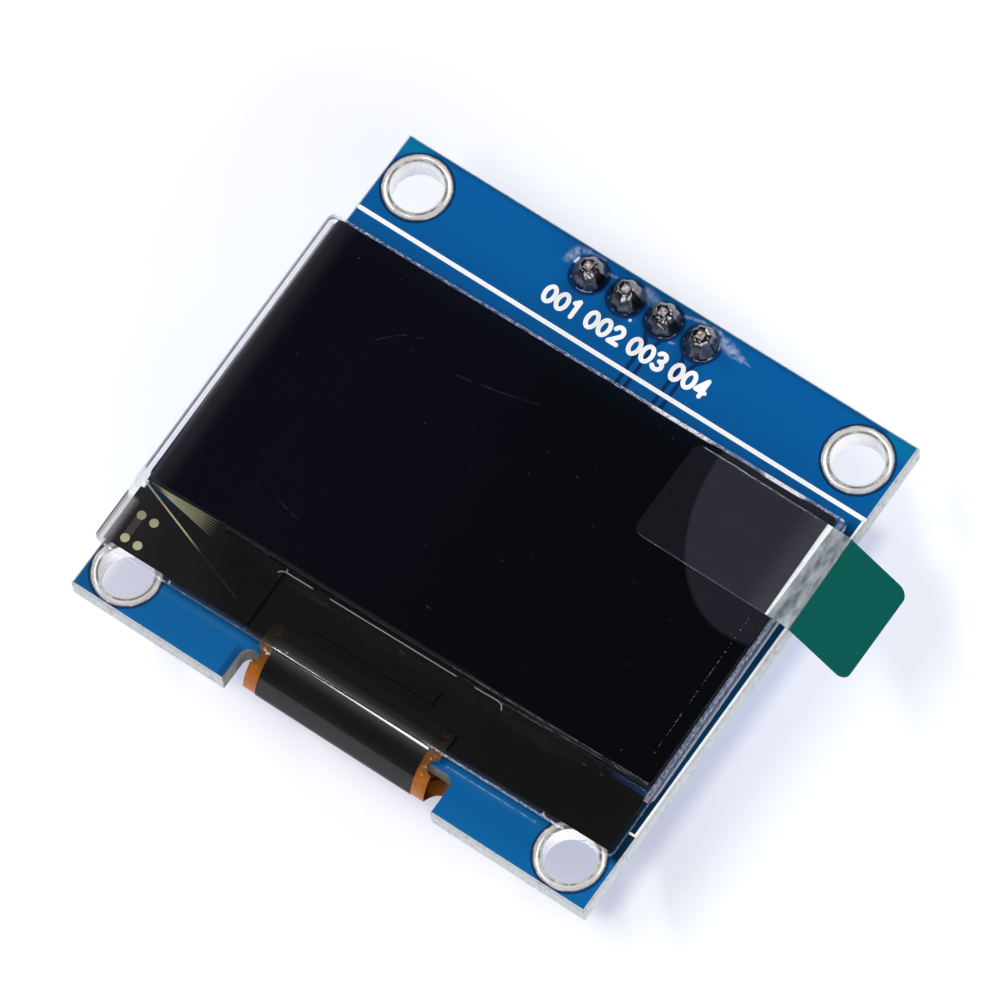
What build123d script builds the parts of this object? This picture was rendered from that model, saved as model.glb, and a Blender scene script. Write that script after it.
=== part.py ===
from build123d import *
import math
import os

# Small graphic display module on a blue circuit board.
# Frame: origin at the centre of the four mounting holes, on the back face of the board.
# +X runs along the pin row, +Y points to the pin row, +Z points out of the display.
# All sizes are in millimetres.

# Circuit board
board_thickness = 1.6
board_offset_x = 0.1
board_offset_y = 0.14
board_edge_bevel = 0.1

# Mounting holes and their tinned barrels
hole_spacing_x = 30.0
hole_spacing_y = 28.0
hole_edge_distance = 2.35
hole_bore_diameter = 3.1
hole_plating_wall = 0.05
hole_flange_diameter = 4.1
hole_flange_height = 0.05
hole_groove_diameter = 3.68
hole_groove_width = 0.12
hole_groove_depth = 0.03

# Notch that the ribbon passes through
notch_clearance_left = 0.75
notch_clearance_right = 1.2
notch_inset = 1.2
notch_corner_radius = 0.6

# Pin header
pin_count = 4
pin_pitch = 2.54
pin_row_edge_distance = 1.54
pin_side = 0.64
pin_point = 0.12
pin_mating_length = 6.0
pin_front_height = 1.35
header_depth = 2.5
header_height = 2.5
header_chamfer = 0.35
pad_diameter = 2.1
pad_height = 0.05
pad_bore_diameter = 1.0
pad_plating_wall = 0.05
solder_base_radius = 1.0
solder_height = 1.05
solder_shoulder_radius = 0.82
solder_shoulder_height = 0.55
solder_top_radius = 0.5

# Display panel, built square to itself and then turned as one on the board
panel_turn = 0.8
panel_centre_x = -0.3
panel_centre_y = -1.75
glass_width = 34.6
glass_height = 23.3
glass_thickness = 0.5
glass_corner = 0.4
ledge_height = 4.4
cap_thickness = 0.5
cap_margin_left = 0.28
cap_margin_right = 0.3
cap_margin_top = 0.25
seal_height = 0.05
seal_width = 1.1
seal_inset = 0.15
emitter_clearance_side = 1.06
emitter_clearance_top = 0.425
emitter_clearance_bottom = 1.025
emitter_thickness = 0.03
polarizer_margin_left = 0.65
polarizer_margin_right = 0.45
polarizer_margin_top = 0.15
polarizer_margin_bottom = 0.2
polarizer_thickness = 0.2
polarizer_corner = 0.25
tape_thickness = 0.25
tape_margin = 0.6

# Protective film and its pull tab
film_overhang_left = 0.59
film_overhang_right = 0.71
film_overhang_top = 0.15
film_overhang_bottom = 1.0
film_thickness = 0.05
film_corner = 0.5
tab_stuck_length = 9.8
tab_edge_clearance = 0.02
tab_bend_lead = 0.2
tab_turn = -1.0
tab_bend_radius = 1.2
tab_bend_angle = 37.0
tab_grip_run = 4.45
tab_width = 6.3
tab_inset_top = 0.55
tab_thickness = 0.06
tab_corner = 0.6

# Chip and tapes behind the ledge
chip_length = 8.0
chip_width = 1.0
chip_thickness = 0.3
chip_drop = 1.7
chip_tape_width = 14.85
chip_tape_height = 4.05
chip_tape_gap = 0.03
chip_tape_thickness = 0.05
chip_tape_corner = 0.6
ledge_tape_thickness = 0.05
ledge_tape_gap = 0.05
ledge_tape_inset = 0.35
ledge_tape_lap = 0.15
ledge_tape_bottom_inset = 0.4
ledge_tape_step_left = 4.2
ledge_tape_step_right = 2.6
ledge_tape_step_height = 0.3
ledge_tape_step_run = 0.5

# Ribbon
ribbon_centre_x = -0.1
ribbon_neck_width = 12.2
ribbon_tail_width = 21.4
ribbon_thickness = 0.1
ribbon_bond_inset = 0.75
ribbon_bond_length = 0.7
ribbon_bow_radius = 2.8
ribbon_bow_angle = 70.0
ribbon_drop_run = 0.35
ribbon_fold_radius = 0.7
ribbon_rise_angle = 15.0
ribbon_settle_radius = 2.0
ribbon_tail_length = 6.9
ribbon_shoulder_right = 1.0
ribbon_shoulder_left = 1.65
ribbon_shoulder_radius = 0.8
ribbon_tail_corner = 0.5
ribbon_tear_radius = 0.4
ribbon_tear_reach = 1.4
coverlay_width = 10.5
coverlay_thickness = 0.05
coverlay_tail_run = 0.9
ribbon_pad_count = 30
ribbon_pad_pitch = 0.7
ribbon_pad_width = 0.36
ribbon_pad_length = 2.2
ribbon_pad_height = 0.05
ribbon_pad_reach = 0.85
ribbon_joint_overlap = 0.25
ribbon_joint_height = 0.12
ribbon_joint_crown = 0.06
ribbon_joint_reach = 0.7

# Parts on the back
chip_part_length = 1.6
chip_part_width = 0.8
capacitor_height = 0.8
resistor_height = 0.45
chip_part_cap = 0.3
chip_part_cap_lip = 0.02
part_pad_height = 0.05
part_pad_reach = 0.35
part_pad_overlap = 0.35
solder_fillet_height = 0.3
part_row_gap = 4.0
part_row_pitch = 2.6
part_row_count = 7
upper_row_gap = 6.0
upper_row_pitch = 2.6
upper_row_count = 4
pull_up_gap = 5.35
pull_up_pitch = 2.54
pull_up_count = 2
regulator_x = 10.2
regulator_y = 6.2
regulator_length = 2.9
regulator_width = 1.3
regulator_body_height = 1.0
regulator_standoff = 0.1
regulator_lead_pitch = 0.95
regulator_lead_width = 0.4
regulator_lead_reach = 0.55
regulator_lead_thickness = 0.13

# Levels, from the back of the board to the front of the film
board_front = board_thickness
cap_back = board_front + tape_thickness
cap_front = cap_back + cap_thickness
glass_back = cap_front + seal_height
glass_front = glass_back + glass_thickness
polarizer_front = glass_front + polarizer_thickness
film_front = polarizer_front + film_thickness

# Board outline and pin row, from the mounting holes
board_width = hole_spacing_x + 2 * hole_edge_distance
board_height = hole_spacing_y + 2 * hole_edge_distance
board_top = board_offset_y + board_height / 2
board_bottom = board_offset_y - board_height / 2
pin_row_y = board_top - pin_row_edge_distance

# Notch, from the ribbon that passes through it
glass_bottom_y = panel_centre_y - glass_height / 2
ribbon_bond_end_y = glass_bottom_y + ribbon_bond_inset
notch_left = ribbon_centre_x - ribbon_neck_width / 2 - notch_clearance_left
notch_right = ribbon_centre_x + ribbon_neck_width / 2 + notch_clearance_right
notch_top = ribbon_bond_end_y - notch_inset

os.makedirs("parts", exist_ok=True)


def save(name, shape):
    """Write one piece, or one group of like pieces, under its own name."""
    shape.label = name
    export_step(shape, f"parts/{name}.step")


def block(x_low, x_high, y_low, y_high, z_low, z_high):
    """A rectangular block between two opposite corners."""
    centre = ((x_low + x_high) / 2, (y_low + y_high) / 2, (z_low + z_high) / 2)
    return Pos(*centre) * Box(x_high - x_low, y_high - y_low, z_high - z_low)


def sheet(x_low, x_high, y_low, y_high, corner, thickness, z):
    """A flat sheet with rounded corners between two opposite corners, its back face at z."""
    outline = RectangleRounded(x_high - x_low, y_high - y_low, corner)
    return Pos((x_low + x_high) / 2, (y_low + y_high) / 2, z) * extrude(outline, amount=thickness)


def on_panel(shape):
    """Place a piece that was drawn about the centre of the display glass."""
    return Pos(panel_centre_x, panel_centre_y, 0) * Rot(0, 0, panel_turn) * shape


def ring_profile(points):
    """A turned body about the Z axis from its half section, given as radius and height."""
    outline = make_face(Polyline(*[(radius, 0, height) for radius, height in points], close=True))
    return revolve(outline, Axis.Z)


def barrel(bore_radius, wall, flange_radius, flange_height):
    """A plated barrel through the board with a flange on both faces."""
    outer = bore_radius + wall
    low = -flange_height
    high = board_thickness + flange_height
    return ring_profile([
        (bore_radius, low),
        (flange_radius, low),
        (flange_radius, 0),
        (outer, 0),
        (outer, board_thickness),
        (flange_radius, board_thickness),
        (flange_radius, high),
        (bore_radius, high),
    ])


hole_places = [
    (side_x * hole_spacing_x / 2, side_y * hole_spacing_y / 2)
    for side_y in (1, -1)
    for side_x in (-1, 1)
]
pin_places = [(index - (pin_count - 1) / 2) * pin_pitch for index in range(pin_count)]


# Circuit board
def circuit_board():
    outline = Pos(board_offset_x, board_offset_y) * Rectangle(board_width, board_height)
    board = extrude(outline, amount=board_thickness)
    outside_y = board_bottom - board_thickness
    notch = block(
        notch_left, notch_right, outside_y, notch_top, -board_thickness, 2 * board_thickness)
    inner_corners = notch.edges().filter_by(Axis.Z).group_by(Axis.Y)[-1]
    board -= fillet(inner_corners, notch_corner_radius)
    front_edges = board.faces().sort_by(Axis.Z)[-1].outer_wire().edges()
    back_edges = board.faces().sort_by(Axis.Z)[0].outer_wire().edges()
    outside = ShapeList(
        edge
        for edge in front_edges + back_edges
        if edge.geom_type == GeomType.LINE and not is_notch_edge(edge)
    )
    board = chamfer(outside, board_edge_bevel)
    drill = hole_bore_diameter / 2 + hole_plating_wall
    for x, y in hole_places:
        board -= Pos(x, y, board_thickness / 2) * Cylinder(drill, 2 * board_thickness)
    pin_drill = pad_bore_diameter / 2 + pad_plating_wall
    for x in pin_places:
        board -= Pos(x, pin_row_y, board_thickness / 2) * Cylinder(pin_drill, 2 * board_thickness)
    return board


def is_notch_edge(edge):
    """True for the edges of the notch, which is routed and keeps sharp edges."""
    middle = edge.position_at(0.5)
    slack = board_edge_bevel / 2
    inside_x = notch_left - slack < middle.X < notch_right + slack
    return inside_x and board_bottom + slack < middle.Y < notch_top + slack


save("circuit_board", circuit_board())


# Mounting holes: the flange has a shallow turned groove where the land meets the barrel's rim
def hole_plating():
    bore_radius = hole_bore_diameter / 2
    plating = barrel(bore_radius, hole_plating_wall, hole_flange_diameter / 2, hole_flange_height)
    top = board_thickness + hole_flange_height
    groove_radius = hole_groove_diameter / 2
    groove = ring_profile([
        (groove_radius - hole_groove_width / 2, top),
        (groove_radius, top - hole_groove_depth),
        (groove_radius + hole_groove_width / 2, top),
    ])
    return plating - groove


plating_shape = hole_plating()
for number, (x, y) in enumerate(hole_places, start=1):
    save(f"hole_plating_{number}", Pos(x, y, 0) * plating_shape)


# Pin header on the back, soldered from the front
def header_base():
    top = -pad_height
    bodies = Part()
    for x in pin_places:
        outline = Rectangle(pin_pitch, header_depth)
        outline = chamfer(outline.vertices(), header_chamfer)
        bodies += Pos(x, pin_row_y, top - header_height) * extrude(outline, amount=header_height)
    for x in pin_places:
        hole = Box(pin_side, pin_side, 2 * header_height)
        bodies -= Pos(x, pin_row_y, top - header_height / 2) * hole
    return bodies


def header_pin(x):
    low = -pad_height - header_height - pin_mating_length
    high = board_front + pin_front_height
    pin = block(
        x - pin_side / 2,
        x + pin_side / 2,
        pin_row_y - pin_side / 2,
        pin_row_y + pin_side / 2,
        low,
        high,
    )
    ends = pin.faces().sort_by(Axis.Z)
    return chamfer(ends[0].edges() + ends[-1].edges(), pin_point)


def solder_joint(x):
    bore_radius = pad_bore_diameter / 2
    land_top = board_front + pad_height
    base = (solder_base_radius, land_top)
    shoulder = (solder_shoulder_radius, land_top + solder_shoulder_height)
    top = (solder_top_radius, land_top + solder_height)
    bottom_z = -pad_height
    with BuildSketch(Plane.XZ) as half:
        with BuildLine():
            Polyline((0, top[1]), (0, bottom_z), (bore_radius, bottom_z), (bore_radius, land_top), base)
            Spline(base, shoulder, top, tangents=[(-0.1, 1), (-1, 0.55)])
            Line(top, (0, top[1]))
        make_face()
    solid = revolve(half.sketch, Axis.Z)
    pin_hole = Box(pin_side, pin_side, 4 * board_thickness)
    return Pos(x, pin_row_y, 0) * (solid - Pos(0, 0, board_thickness) * pin_hole)


pad_shape = barrel(pad_bore_diameter / 2, pad_plating_wall, pad_diameter / 2, pad_height)
save("header_base", header_base())
for number, x in enumerate(pin_places, start=1):
    save(f"header_pin_{number}", header_pin(x))
    save(f"pin_pad_{number}", Pos(x, pin_row_y, 0) * pad_shape)
    save(f"solder_joint_{number}", solder_joint(x))


# Display panel, drawn about the centre of the front glass
cap_left = -glass_width / 2 + cap_margin_left
cap_right = glass_width / 2 - cap_margin_right
cap_top = glass_height / 2 - cap_margin_top
cap_bottom = -glass_height / 2 + ledge_height
cap_centre_x = (cap_left + cap_right) / 2
cap_centre_y = (cap_top + cap_bottom) / 2
seal_width_outside = cap_right - cap_left - 2 * seal_inset
seal_height_outside = cap_top - cap_bottom - 2 * seal_inset
seal_width_inside = seal_width_outside - 2 * seal_width
seal_height_inside = seal_height_outside - 2 * seal_width


def front_glass():
    half_width = glass_width / 2
    half_height = glass_height / 2
    return sheet(
        -half_width, half_width, -half_height, half_height, glass_corner, glass_thickness, glass_back)


def edge_seal():
    frame = Rectangle(seal_width_outside, seal_height_outside)
    frame -= Rectangle(seal_width_inside, seal_height_inside)
    return Pos(cap_centre_x, cap_centre_y, cap_front) * extrude(frame, amount=seal_height)


def emitter_layer():
    half_width = seal_width_inside / 2 - emitter_clearance_side
    return block(
        cap_centre_x - half_width,
        cap_centre_x + half_width,
        cap_centre_y - seal_height_inside / 2 + emitter_clearance_bottom,
        cap_centre_y + seal_height_inside / 2 - emitter_clearance_top,
        glass_back - emitter_thickness,
        glass_back,
    )


polarizer_left = -glass_width / 2 + polarizer_margin_left
polarizer_right = glass_width / 2 - polarizer_margin_right
polarizer_top = glass_height / 2 - polarizer_margin_top
polarizer_bottom = cap_bottom + polarizer_margin_bottom
film_left = polarizer_left - film_overhang_left
film_right = polarizer_right + film_overhang_right
film_top = polarizer_top + film_overhang_top
film_bottom = polarizer_bottom - film_overhang_bottom


def polarizer():
    return sheet(
        polarizer_left,
        polarizer_right,
        polarizer_bottom,
        polarizer_top,
        polarizer_corner,
        polarizer_thickness,
        glass_front,
    )


def protective_film():
    return sheet(
        film_left, film_right, film_bottom, film_top, film_corner, film_thickness, polarizer_front)


def mounting_tape():
    return block(
        cap_left + tape_margin,
        cap_right - tape_margin,
        cap_bottom + tape_margin,
        cap_top - tape_margin,
        board_front,
        cap_back,
    )


save("front_glass", on_panel(front_glass()))
save("cap_glass", on_panel(block(cap_left, cap_right, cap_bottom, cap_top, cap_back, cap_front)))
save("edge_seal", on_panel(edge_seal()))
save("emitter_layer", on_panel(emitter_layer()))
save("polarizer", on_panel(polarizer()))
save("mounting_tape", on_panel(mounting_tape()))
save("protective_film", on_panel(protective_film()))


# Pull tab: stuck on the film, then drooping past the edges of the film and the board
def pull_tab():
    start_x = film_right - tab_stuck_length
    board_right_x = board_offset_x + board_width / 2 - panel_centre_x
    flat_end_x = max(film_right + tab_edge_clearance, board_right_x - tab_bend_lead)
    with BuildLine(Plane.XZ) as path:
        Line((start_x, film_front), (flat_end_x, film_front))
        bend = JernArc((flat_end_x, film_front), (1, 0), tab_bend_radius, -tab_bend_angle)
        Line(bend @ 1, bend @ 1 + tab_grip_run * (bend % 1))
    start = Plane(origin=(start_x, 0, film_front), x_dir=(0, 1, 0), z_dir=(1, 0, 0))
    section = start * Pos(0, tab_thickness / 2) * Rectangle(tab_width, tab_thickness)
    strip = sweep(section, path=path.line)
    box = strip.bounding_box()
    trim = sheet(
        box.min.X,
        box.max.X,
        -tab_width / 2,
        tab_width / 2,
        tab_corner,
        box.size.Z + 2 * tab_thickness,
        box.min.Z - tab_thickness,
    )
    centre_y = film_top - tab_inset_top - tab_width / 2
    turned = Pos(start_x, 0, 0) * Rot(0, 0, tab_turn) * Pos(-start_x, 0, 0)
    return Pos(0, centre_y, 0) * turned * (strip & trim)


save("pull_tab", on_panel(pull_tab()))


# Chip and tapes behind the ledge
chip_tape_top = cap_bottom - chip_tape_gap


def driver_chip():
    centre_y = cap_bottom - chip_drop
    centre_z = glass_back - chip_thickness / 2
    return Pos(cap_centre_x, centre_y, centre_z) * Box(chip_length, chip_width, chip_thickness)


def chip_tape():
    return sheet(
        cap_centre_x - chip_tape_width / 2,
        cap_centre_x + chip_tape_width / 2,
        chip_tape_top - chip_tape_height,
        chip_tape_top,
        chip_tape_corner,
        chip_tape_thickness,
        glass_back - chip_thickness - chip_tape_thickness,
    )


def ledge_tape(side, step):
    """A strip that laps the chip's tape in plan and is cut lower over its outer end."""
    inner = cap_centre_x + side * (chip_tape_width / 2 - ledge_tape_lap)
    outer = side * (glass_width / 2 - ledge_tape_inset)
    bottom = -glass_height / 2 + ledge_tape_bottom_inset
    top = cap_bottom - ledge_tape_gap
    low_top = top - ledge_tape_step_height
    outline = Polyline(
        (inner, bottom),
        (outer, bottom),
        (outer, low_top),
        (outer - side * step, low_top),
        (outer - side * (step + ledge_tape_step_run), top),
        (inner, top),
        close=True,
    )
    face = Pos(0, 0, glass_back - ledge_tape_thickness) * make_face(outline)
    return extrude(face, ledge_tape_thickness, dir=(0, 0, 1))


save("driver_chip", on_panel(driver_chip()))
save("chip_tape", on_panel(chip_tape()))
save("ledge_tape_left", on_panel(ledge_tape(-1, ledge_tape_step_left)))
save("ledge_tape_right", on_panel(ledge_tape(1, ledge_tape_step_right)))


# Ribbon: leaves the back of the ledge, bows down through the notch, folds tightly below the
# board and rises to lie on its lands. The path is the face shared by sheet and cover layer.
def ribbon_paths():
    """The neck part and the tail part of the path, as lines and tangent arcs in the YZ plane.

    They meet where the fold stands upright, at its outermost point.
    """
    level = glass_back - coverlay_thickness
    end_level = -ribbon_pad_height - ribbon_thickness
    rise = math.radians(ribbon_rise_angle)
    start = Vector(0, ribbon_bond_end_y + ribbon_bond_length, level)
    bond_end = Vector(0, ribbon_bond_end_y, level)
    with BuildLine(Plane.YZ) as neck:
        Line(start, bond_end)
        bow = JernArc(bond_end, Vector(0, -1, 0), ribbon_bow_radius, ribbon_bow_angle)
        drop = Line(bow @ 1, bow @ 1 + ribbon_drop_run * (bow % 1))
        turn_in = JernArc(drop @ 1, drop % 1, ribbon_fold_radius, 90 - ribbon_bow_angle)
    with BuildLine(Plane.YZ) as tail:
        turn_out = JernArc(turn_in @ 1, turn_in % 1, ribbon_fold_radius, 90 + ribbon_rise_angle)
        settle_rise = ribbon_settle_radius * (1 - math.cos(rise))
        climb_run = (end_level - settle_rise - (turn_out @ 1).Z) / math.sin(rise)
        climb = Line(turn_out @ 1, turn_out @ 1 + climb_run * (turn_out % 1))
        settle = JernArc(climb @ 1, climb % 1, ribbon_settle_radius, -ribbon_rise_angle)
        end_y = (turn_in @ 1).Y + ribbon_tail_length
        Line(settle @ 1, Vector(0, end_y, end_level))
    return neck.wire(), tail.wire(), turn_out.edge()


def strip_along(path, width, centre_x, inner, outer):
    """Sweep a flat strip along the path. Inner and outer are its faces' distances from the path."""
    start = Plane(origin=path @ 0, x_dir=(1, 0, 0), z_dir=path % 0)
    section = Pos(centre_x, (inner + outer) / 2) * Rectangle(width, outer - inner)
    return sweep(start * section, path=path)


neck_path, tail_path, fold_arc = ribbon_paths()
fold_y = (neck_path @ 1).Y
ribbon_end_y = fold_y + ribbon_tail_length


def tail_outline():
    """The plan of the tail: a neck that steps out, round the shoulders, to the wide end."""
    half_tail = ribbon_tail_width / 2
    neck_start = fold_y - ribbon_thickness
    neck_length = ribbon_end_y - neck_start
    outline = Pos(0, neck_start + neck_length / 2) * Rectangle(ribbon_neck_width, neck_length)
    for side, shoulder in ((-1, ribbon_shoulder_left), (1, ribbon_shoulder_right)):
        length = ribbon_tail_length - shoulder
        outline += Pos(side * half_tail / 2, ribbon_end_y - length / 2) * Rectangle(half_tail, length)
    outer = [v for v in outline.vertices() if abs(v.X) > half_tail - ribbon_tail_corner]
    outline = fillet(outer, ribbon_tail_corner)
    inner = [
        v for v in outline.vertices()
        if abs(v.X) < half_tail - 2 * ribbon_tail_corner and v.Y > fold_y
    ]
    return Pos(ribbon_centre_x, 0) * fillet(inner, ribbon_shoulder_radius)


def flex_ribbon():
    neck = strip_along(neck_path, ribbon_neck_width, ribbon_centre_x, -ribbon_thickness, 0)
    for side in (-1, 1):
        edge_x = ribbon_centre_x + side * ribbon_neck_width / 2
        tear = Cylinder(ribbon_tear_radius, 2 * board_thickness)
        tear_y = ribbon_bond_end_y - ribbon_tear_reach
        neck -= Pos(edge_x, tear_y, board_front + board_thickness / 2) * tear
    tail = strip_along(tail_path, ribbon_tail_width, ribbon_centre_x, -ribbon_thickness, 0)
    trim = extrude(tail_outline(), amount=2 * board_thickness, both=True)
    return neck + (tail & trim)


def ribbon_coverlay():
    last_run = Edge.make_line(fold_arc @ 1, fold_arc @ 1 + coverlay_tail_run * (fold_arc % 1))
    path = Wire(neck_path.edges() + [fold_arc, last_run])
    return strip_along(path, coverlay_width, ribbon_centre_x, 0, coverlay_thickness)


def ribbon_row():
    """The centres of the lands along the ribbon's soldered end."""
    first = ribbon_centre_x - (ribbon_pad_count - 1) / 2 * ribbon_pad_pitch
    return [first + index * ribbon_pad_pitch for index in range(ribbon_pad_count)]


def ribbon_pads():
    y_high = ribbon_end_y + ribbon_pad_reach
    half = ribbon_pad_width / 2
    return Compound(children=[
        block(x - half, x + half, y_high - ribbon_pad_length, y_high, -ribbon_pad_height, 0)
        for x in ribbon_row()
    ])


def ribbon_solder():
    land = -ribbon_pad_height
    under = land - ribbon_thickness
    profile = Polyline(
        (0, ribbon_end_y, land),
        (0, ribbon_end_y + ribbon_joint_reach, land),
        (0, ribbon_end_y, under - ribbon_joint_height),
        (0, ribbon_end_y - ribbon_joint_overlap, under - ribbon_joint_crown),
        (0, ribbon_end_y - ribbon_joint_overlap, under),
        (0, ribbon_end_y, under),
        close=True,
    )
    joint = extrude(make_face(profile), amount=ribbon_pad_width / 2, both=True, dir=(1, 0, 0))
    return Compound(children=[Pos(x, 0, 0) * joint for x in ribbon_row()])


save("flex_ribbon", flex_ribbon())
save("ribbon_coverlay", ribbon_coverlay())
save("ribbon_pads", ribbon_pads())
save("ribbon_solder", ribbon_solder())


# Parts on the back of the board
def chip_part(height):
    """A chip capacitor or resistor, lying along Y and hanging below the board."""
    top = -part_pad_height
    half = chip_part_length / 2
    side = chip_part_width / 2
    lip = chip_part_cap_lip
    body = block(-side + lip, side - lip, -half + lip, half - lip, top - height + lip, top - lip)
    for direction in (-1, 1):
        inner = direction * (half - chip_part_cap)
        outer = direction * half
        body += block(-side, side, min(inner, outer), max(inner, outer), top - height, top)
    return body


def chip_part_pads():
    half = chip_part_length / 2
    side = chip_part_width / 2
    pads = []
    for direction in (-1, 1):
        inner = direction * (half - part_pad_overlap)
        outer = direction * (half + part_pad_reach)
        pads.append(block(-side, side, min(inner, outer), max(inner, outer), -part_pad_height, 0))
    return pads


def chip_part_solder():
    half = chip_part_length / 2
    side = chip_part_width / 2
    top = -part_pad_height
    fillets = []
    for direction in (-1, 1):
        wall = direction * half
        toe = direction * (half + part_pad_reach)
        profile = Polyline(
            (0, wall, top), (0, toe, top), (0, wall, top - solder_fillet_height), close=True)
        fillets.append(extrude(make_face(profile), amount=side, both=True, dir=(1, 0, 0)))
    return fillets


def row_places(y, pitch, count):
    first = -(count - 1) / 2 * pitch
    return [(first + index * pitch, y) for index in range(count)]


part_row_y = ribbon_end_y + part_row_gap
upper_row_y = part_row_y + upper_row_gap
pull_up_y = pin_row_y - pull_up_gap
capacitor_places = row_places(part_row_y, part_row_pitch, part_row_count)
resistor_places = row_places(upper_row_y, upper_row_pitch, upper_row_count)
resistor_places += row_places(pull_up_y, pull_up_pitch, pull_up_count)


def gull_lead(side):
    """One lead that leaves the body at mid height, bends to the board and ends in a foot."""
    t = regulator_lead_thickness
    wall = regulator_width / 2
    foot = wall + regulator_lead_reach
    knee = wall + regulator_lead_reach / 3
    shin = wall + regulator_lead_reach / 2
    land = -part_pad_height
    middle = land - regulator_standoff - regulator_body_height / 2
    points = [
        (wall, middle),
        (knee + t, middle),
        (shin + t, land - t),
        (foot, land - t),
        (foot, land),
        (shin, land),
        (knee, middle + t),
        (wall, middle + t),
    ]
    profile = Polyline(*[(0, side * y, z) for y, z in points], close=True)
    half = regulator_lead_width / 2
    return extrude(make_face(profile), amount=half, both=True, dir=(1, 0, 0))


lead_places = [(-regulator_lead_pitch, -1), (regulator_lead_pitch, -1), (0, 1)]


def regulator():
    top = -part_pad_height - regulator_standoff
    body = block(
        -regulator_length / 2,
        regulator_length / 2,
        -regulator_width / 2,
        regulator_width / 2,
        top - regulator_body_height,
        top,
    )
    edges = body.faces().sort_by(Axis.Z)[0].edges()
    return chamfer(edges, regulator_standoff)


def regulator_pads():
    half = regulator_lead_width / 2 + regulator_standoff
    inner = regulator_width / 2 + regulator_lead_reach / 3
    outer = regulator_width / 2 + regulator_lead_reach + part_pad_reach
    return [
        block(x - half, x + half, *sorted((side * inner, side * outer)), -part_pad_height, 0)
        for x, side in lead_places
    ]


for number, (x, y) in enumerate(capacitor_places, start=1):
    save(f"capacitor_{number}", Pos(x, y, 0) * chip_part(capacitor_height))
for number, (x, y) in enumerate(resistor_places, start=1):
    save(f"resistor_{number}", Pos(x, y, 0) * chip_part(resistor_height))
at_regulator = Pos(regulator_x, regulator_y, 0)
save("regulator", at_regulator * regulator())
save("regulator_leads", Compound(children=[
    at_regulator * Pos(x, 0, 0) * gull_lead(side) for x, side in lead_places
]))
all_places = capacitor_places + resistor_places
save("part_pads", Compound(children=[
    Pos(x, y, 0) * pad for x, y in all_places for pad in chip_part_pads()
] + [at_regulator * pad for pad in regulator_pads()]))
save("part_solder", Compound(children=[
    Pos(x, y, 0) * joint for x, y in all_places for joint in chip_part_solder()
]))
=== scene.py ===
"""Dresses a small graphic display module: a blue circuit board, a glass display panel under a clear film
with a green pull tab, a black ribbon folded round to the back, and a four-pin header soldered in front."""

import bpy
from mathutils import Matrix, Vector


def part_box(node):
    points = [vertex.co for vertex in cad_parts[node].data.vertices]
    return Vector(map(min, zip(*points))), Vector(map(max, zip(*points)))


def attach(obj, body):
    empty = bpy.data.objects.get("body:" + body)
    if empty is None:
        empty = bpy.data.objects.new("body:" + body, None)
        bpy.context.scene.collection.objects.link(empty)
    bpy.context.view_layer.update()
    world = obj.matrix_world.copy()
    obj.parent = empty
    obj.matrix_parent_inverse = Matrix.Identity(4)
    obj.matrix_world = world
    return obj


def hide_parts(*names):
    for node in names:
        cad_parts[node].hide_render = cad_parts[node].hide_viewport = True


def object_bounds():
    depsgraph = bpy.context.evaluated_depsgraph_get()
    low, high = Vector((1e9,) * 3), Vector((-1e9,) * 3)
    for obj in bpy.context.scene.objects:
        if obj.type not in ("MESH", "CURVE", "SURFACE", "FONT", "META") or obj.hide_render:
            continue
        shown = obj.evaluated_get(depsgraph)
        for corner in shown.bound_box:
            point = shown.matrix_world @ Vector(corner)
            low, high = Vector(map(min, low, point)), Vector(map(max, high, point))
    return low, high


bl_info = {
    "name": "Small display module",
    "version": (1, 0, 0),
    "blender": (4, 5, 0),
    "location": "View3D > Sidebar > Module",
    "description": "Finishes, print, solder, glass marks, film and dust of a small display module",
    "category": "Add Mesh",
}

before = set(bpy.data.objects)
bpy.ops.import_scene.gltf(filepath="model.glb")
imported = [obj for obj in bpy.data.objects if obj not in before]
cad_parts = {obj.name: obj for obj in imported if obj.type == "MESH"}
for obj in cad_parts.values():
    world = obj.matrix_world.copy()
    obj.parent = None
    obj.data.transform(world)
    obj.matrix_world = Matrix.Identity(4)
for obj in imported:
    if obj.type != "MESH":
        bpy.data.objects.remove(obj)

import math

import bmesh
import bpy
from bpy.props import FloatProperty, FloatVectorProperty, IntProperty, PointerProperty
from mathutils import Matrix, Vector, noise

CAD_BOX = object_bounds()
MM = 0.001
BODY = "root"
PINS = range(1, 5)
HOLES = range(1, 5)
GRAIN_SEED = 0.0


def srgb(red, green, blue):
    """Linear colour of a screen colour given from 0 to 255."""
    def linear(level):
        share = level / 255
        return share / 12.92 if share < 0.04045 else ((share + 0.055) / 1.055) ** 2.4
    return (linear(red), linear(green), linear(blue))


# Levels, centres and sides, in millimetres, read from the frame.

def node_box(node):
    """Lowest and highest corner of a node, in millimetres."""
    low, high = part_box(node)
    return low / MM, high / MM


def middle_of(node):
    """Centre of a node's box."""
    low, high = node_box(node)
    return (low + high) / 2


def half_height(node):
    """Half of a node's size along y, which is the radius of a round one."""
    low, high = node_box(node)
    return (high.y - low.y) / 2


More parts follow.
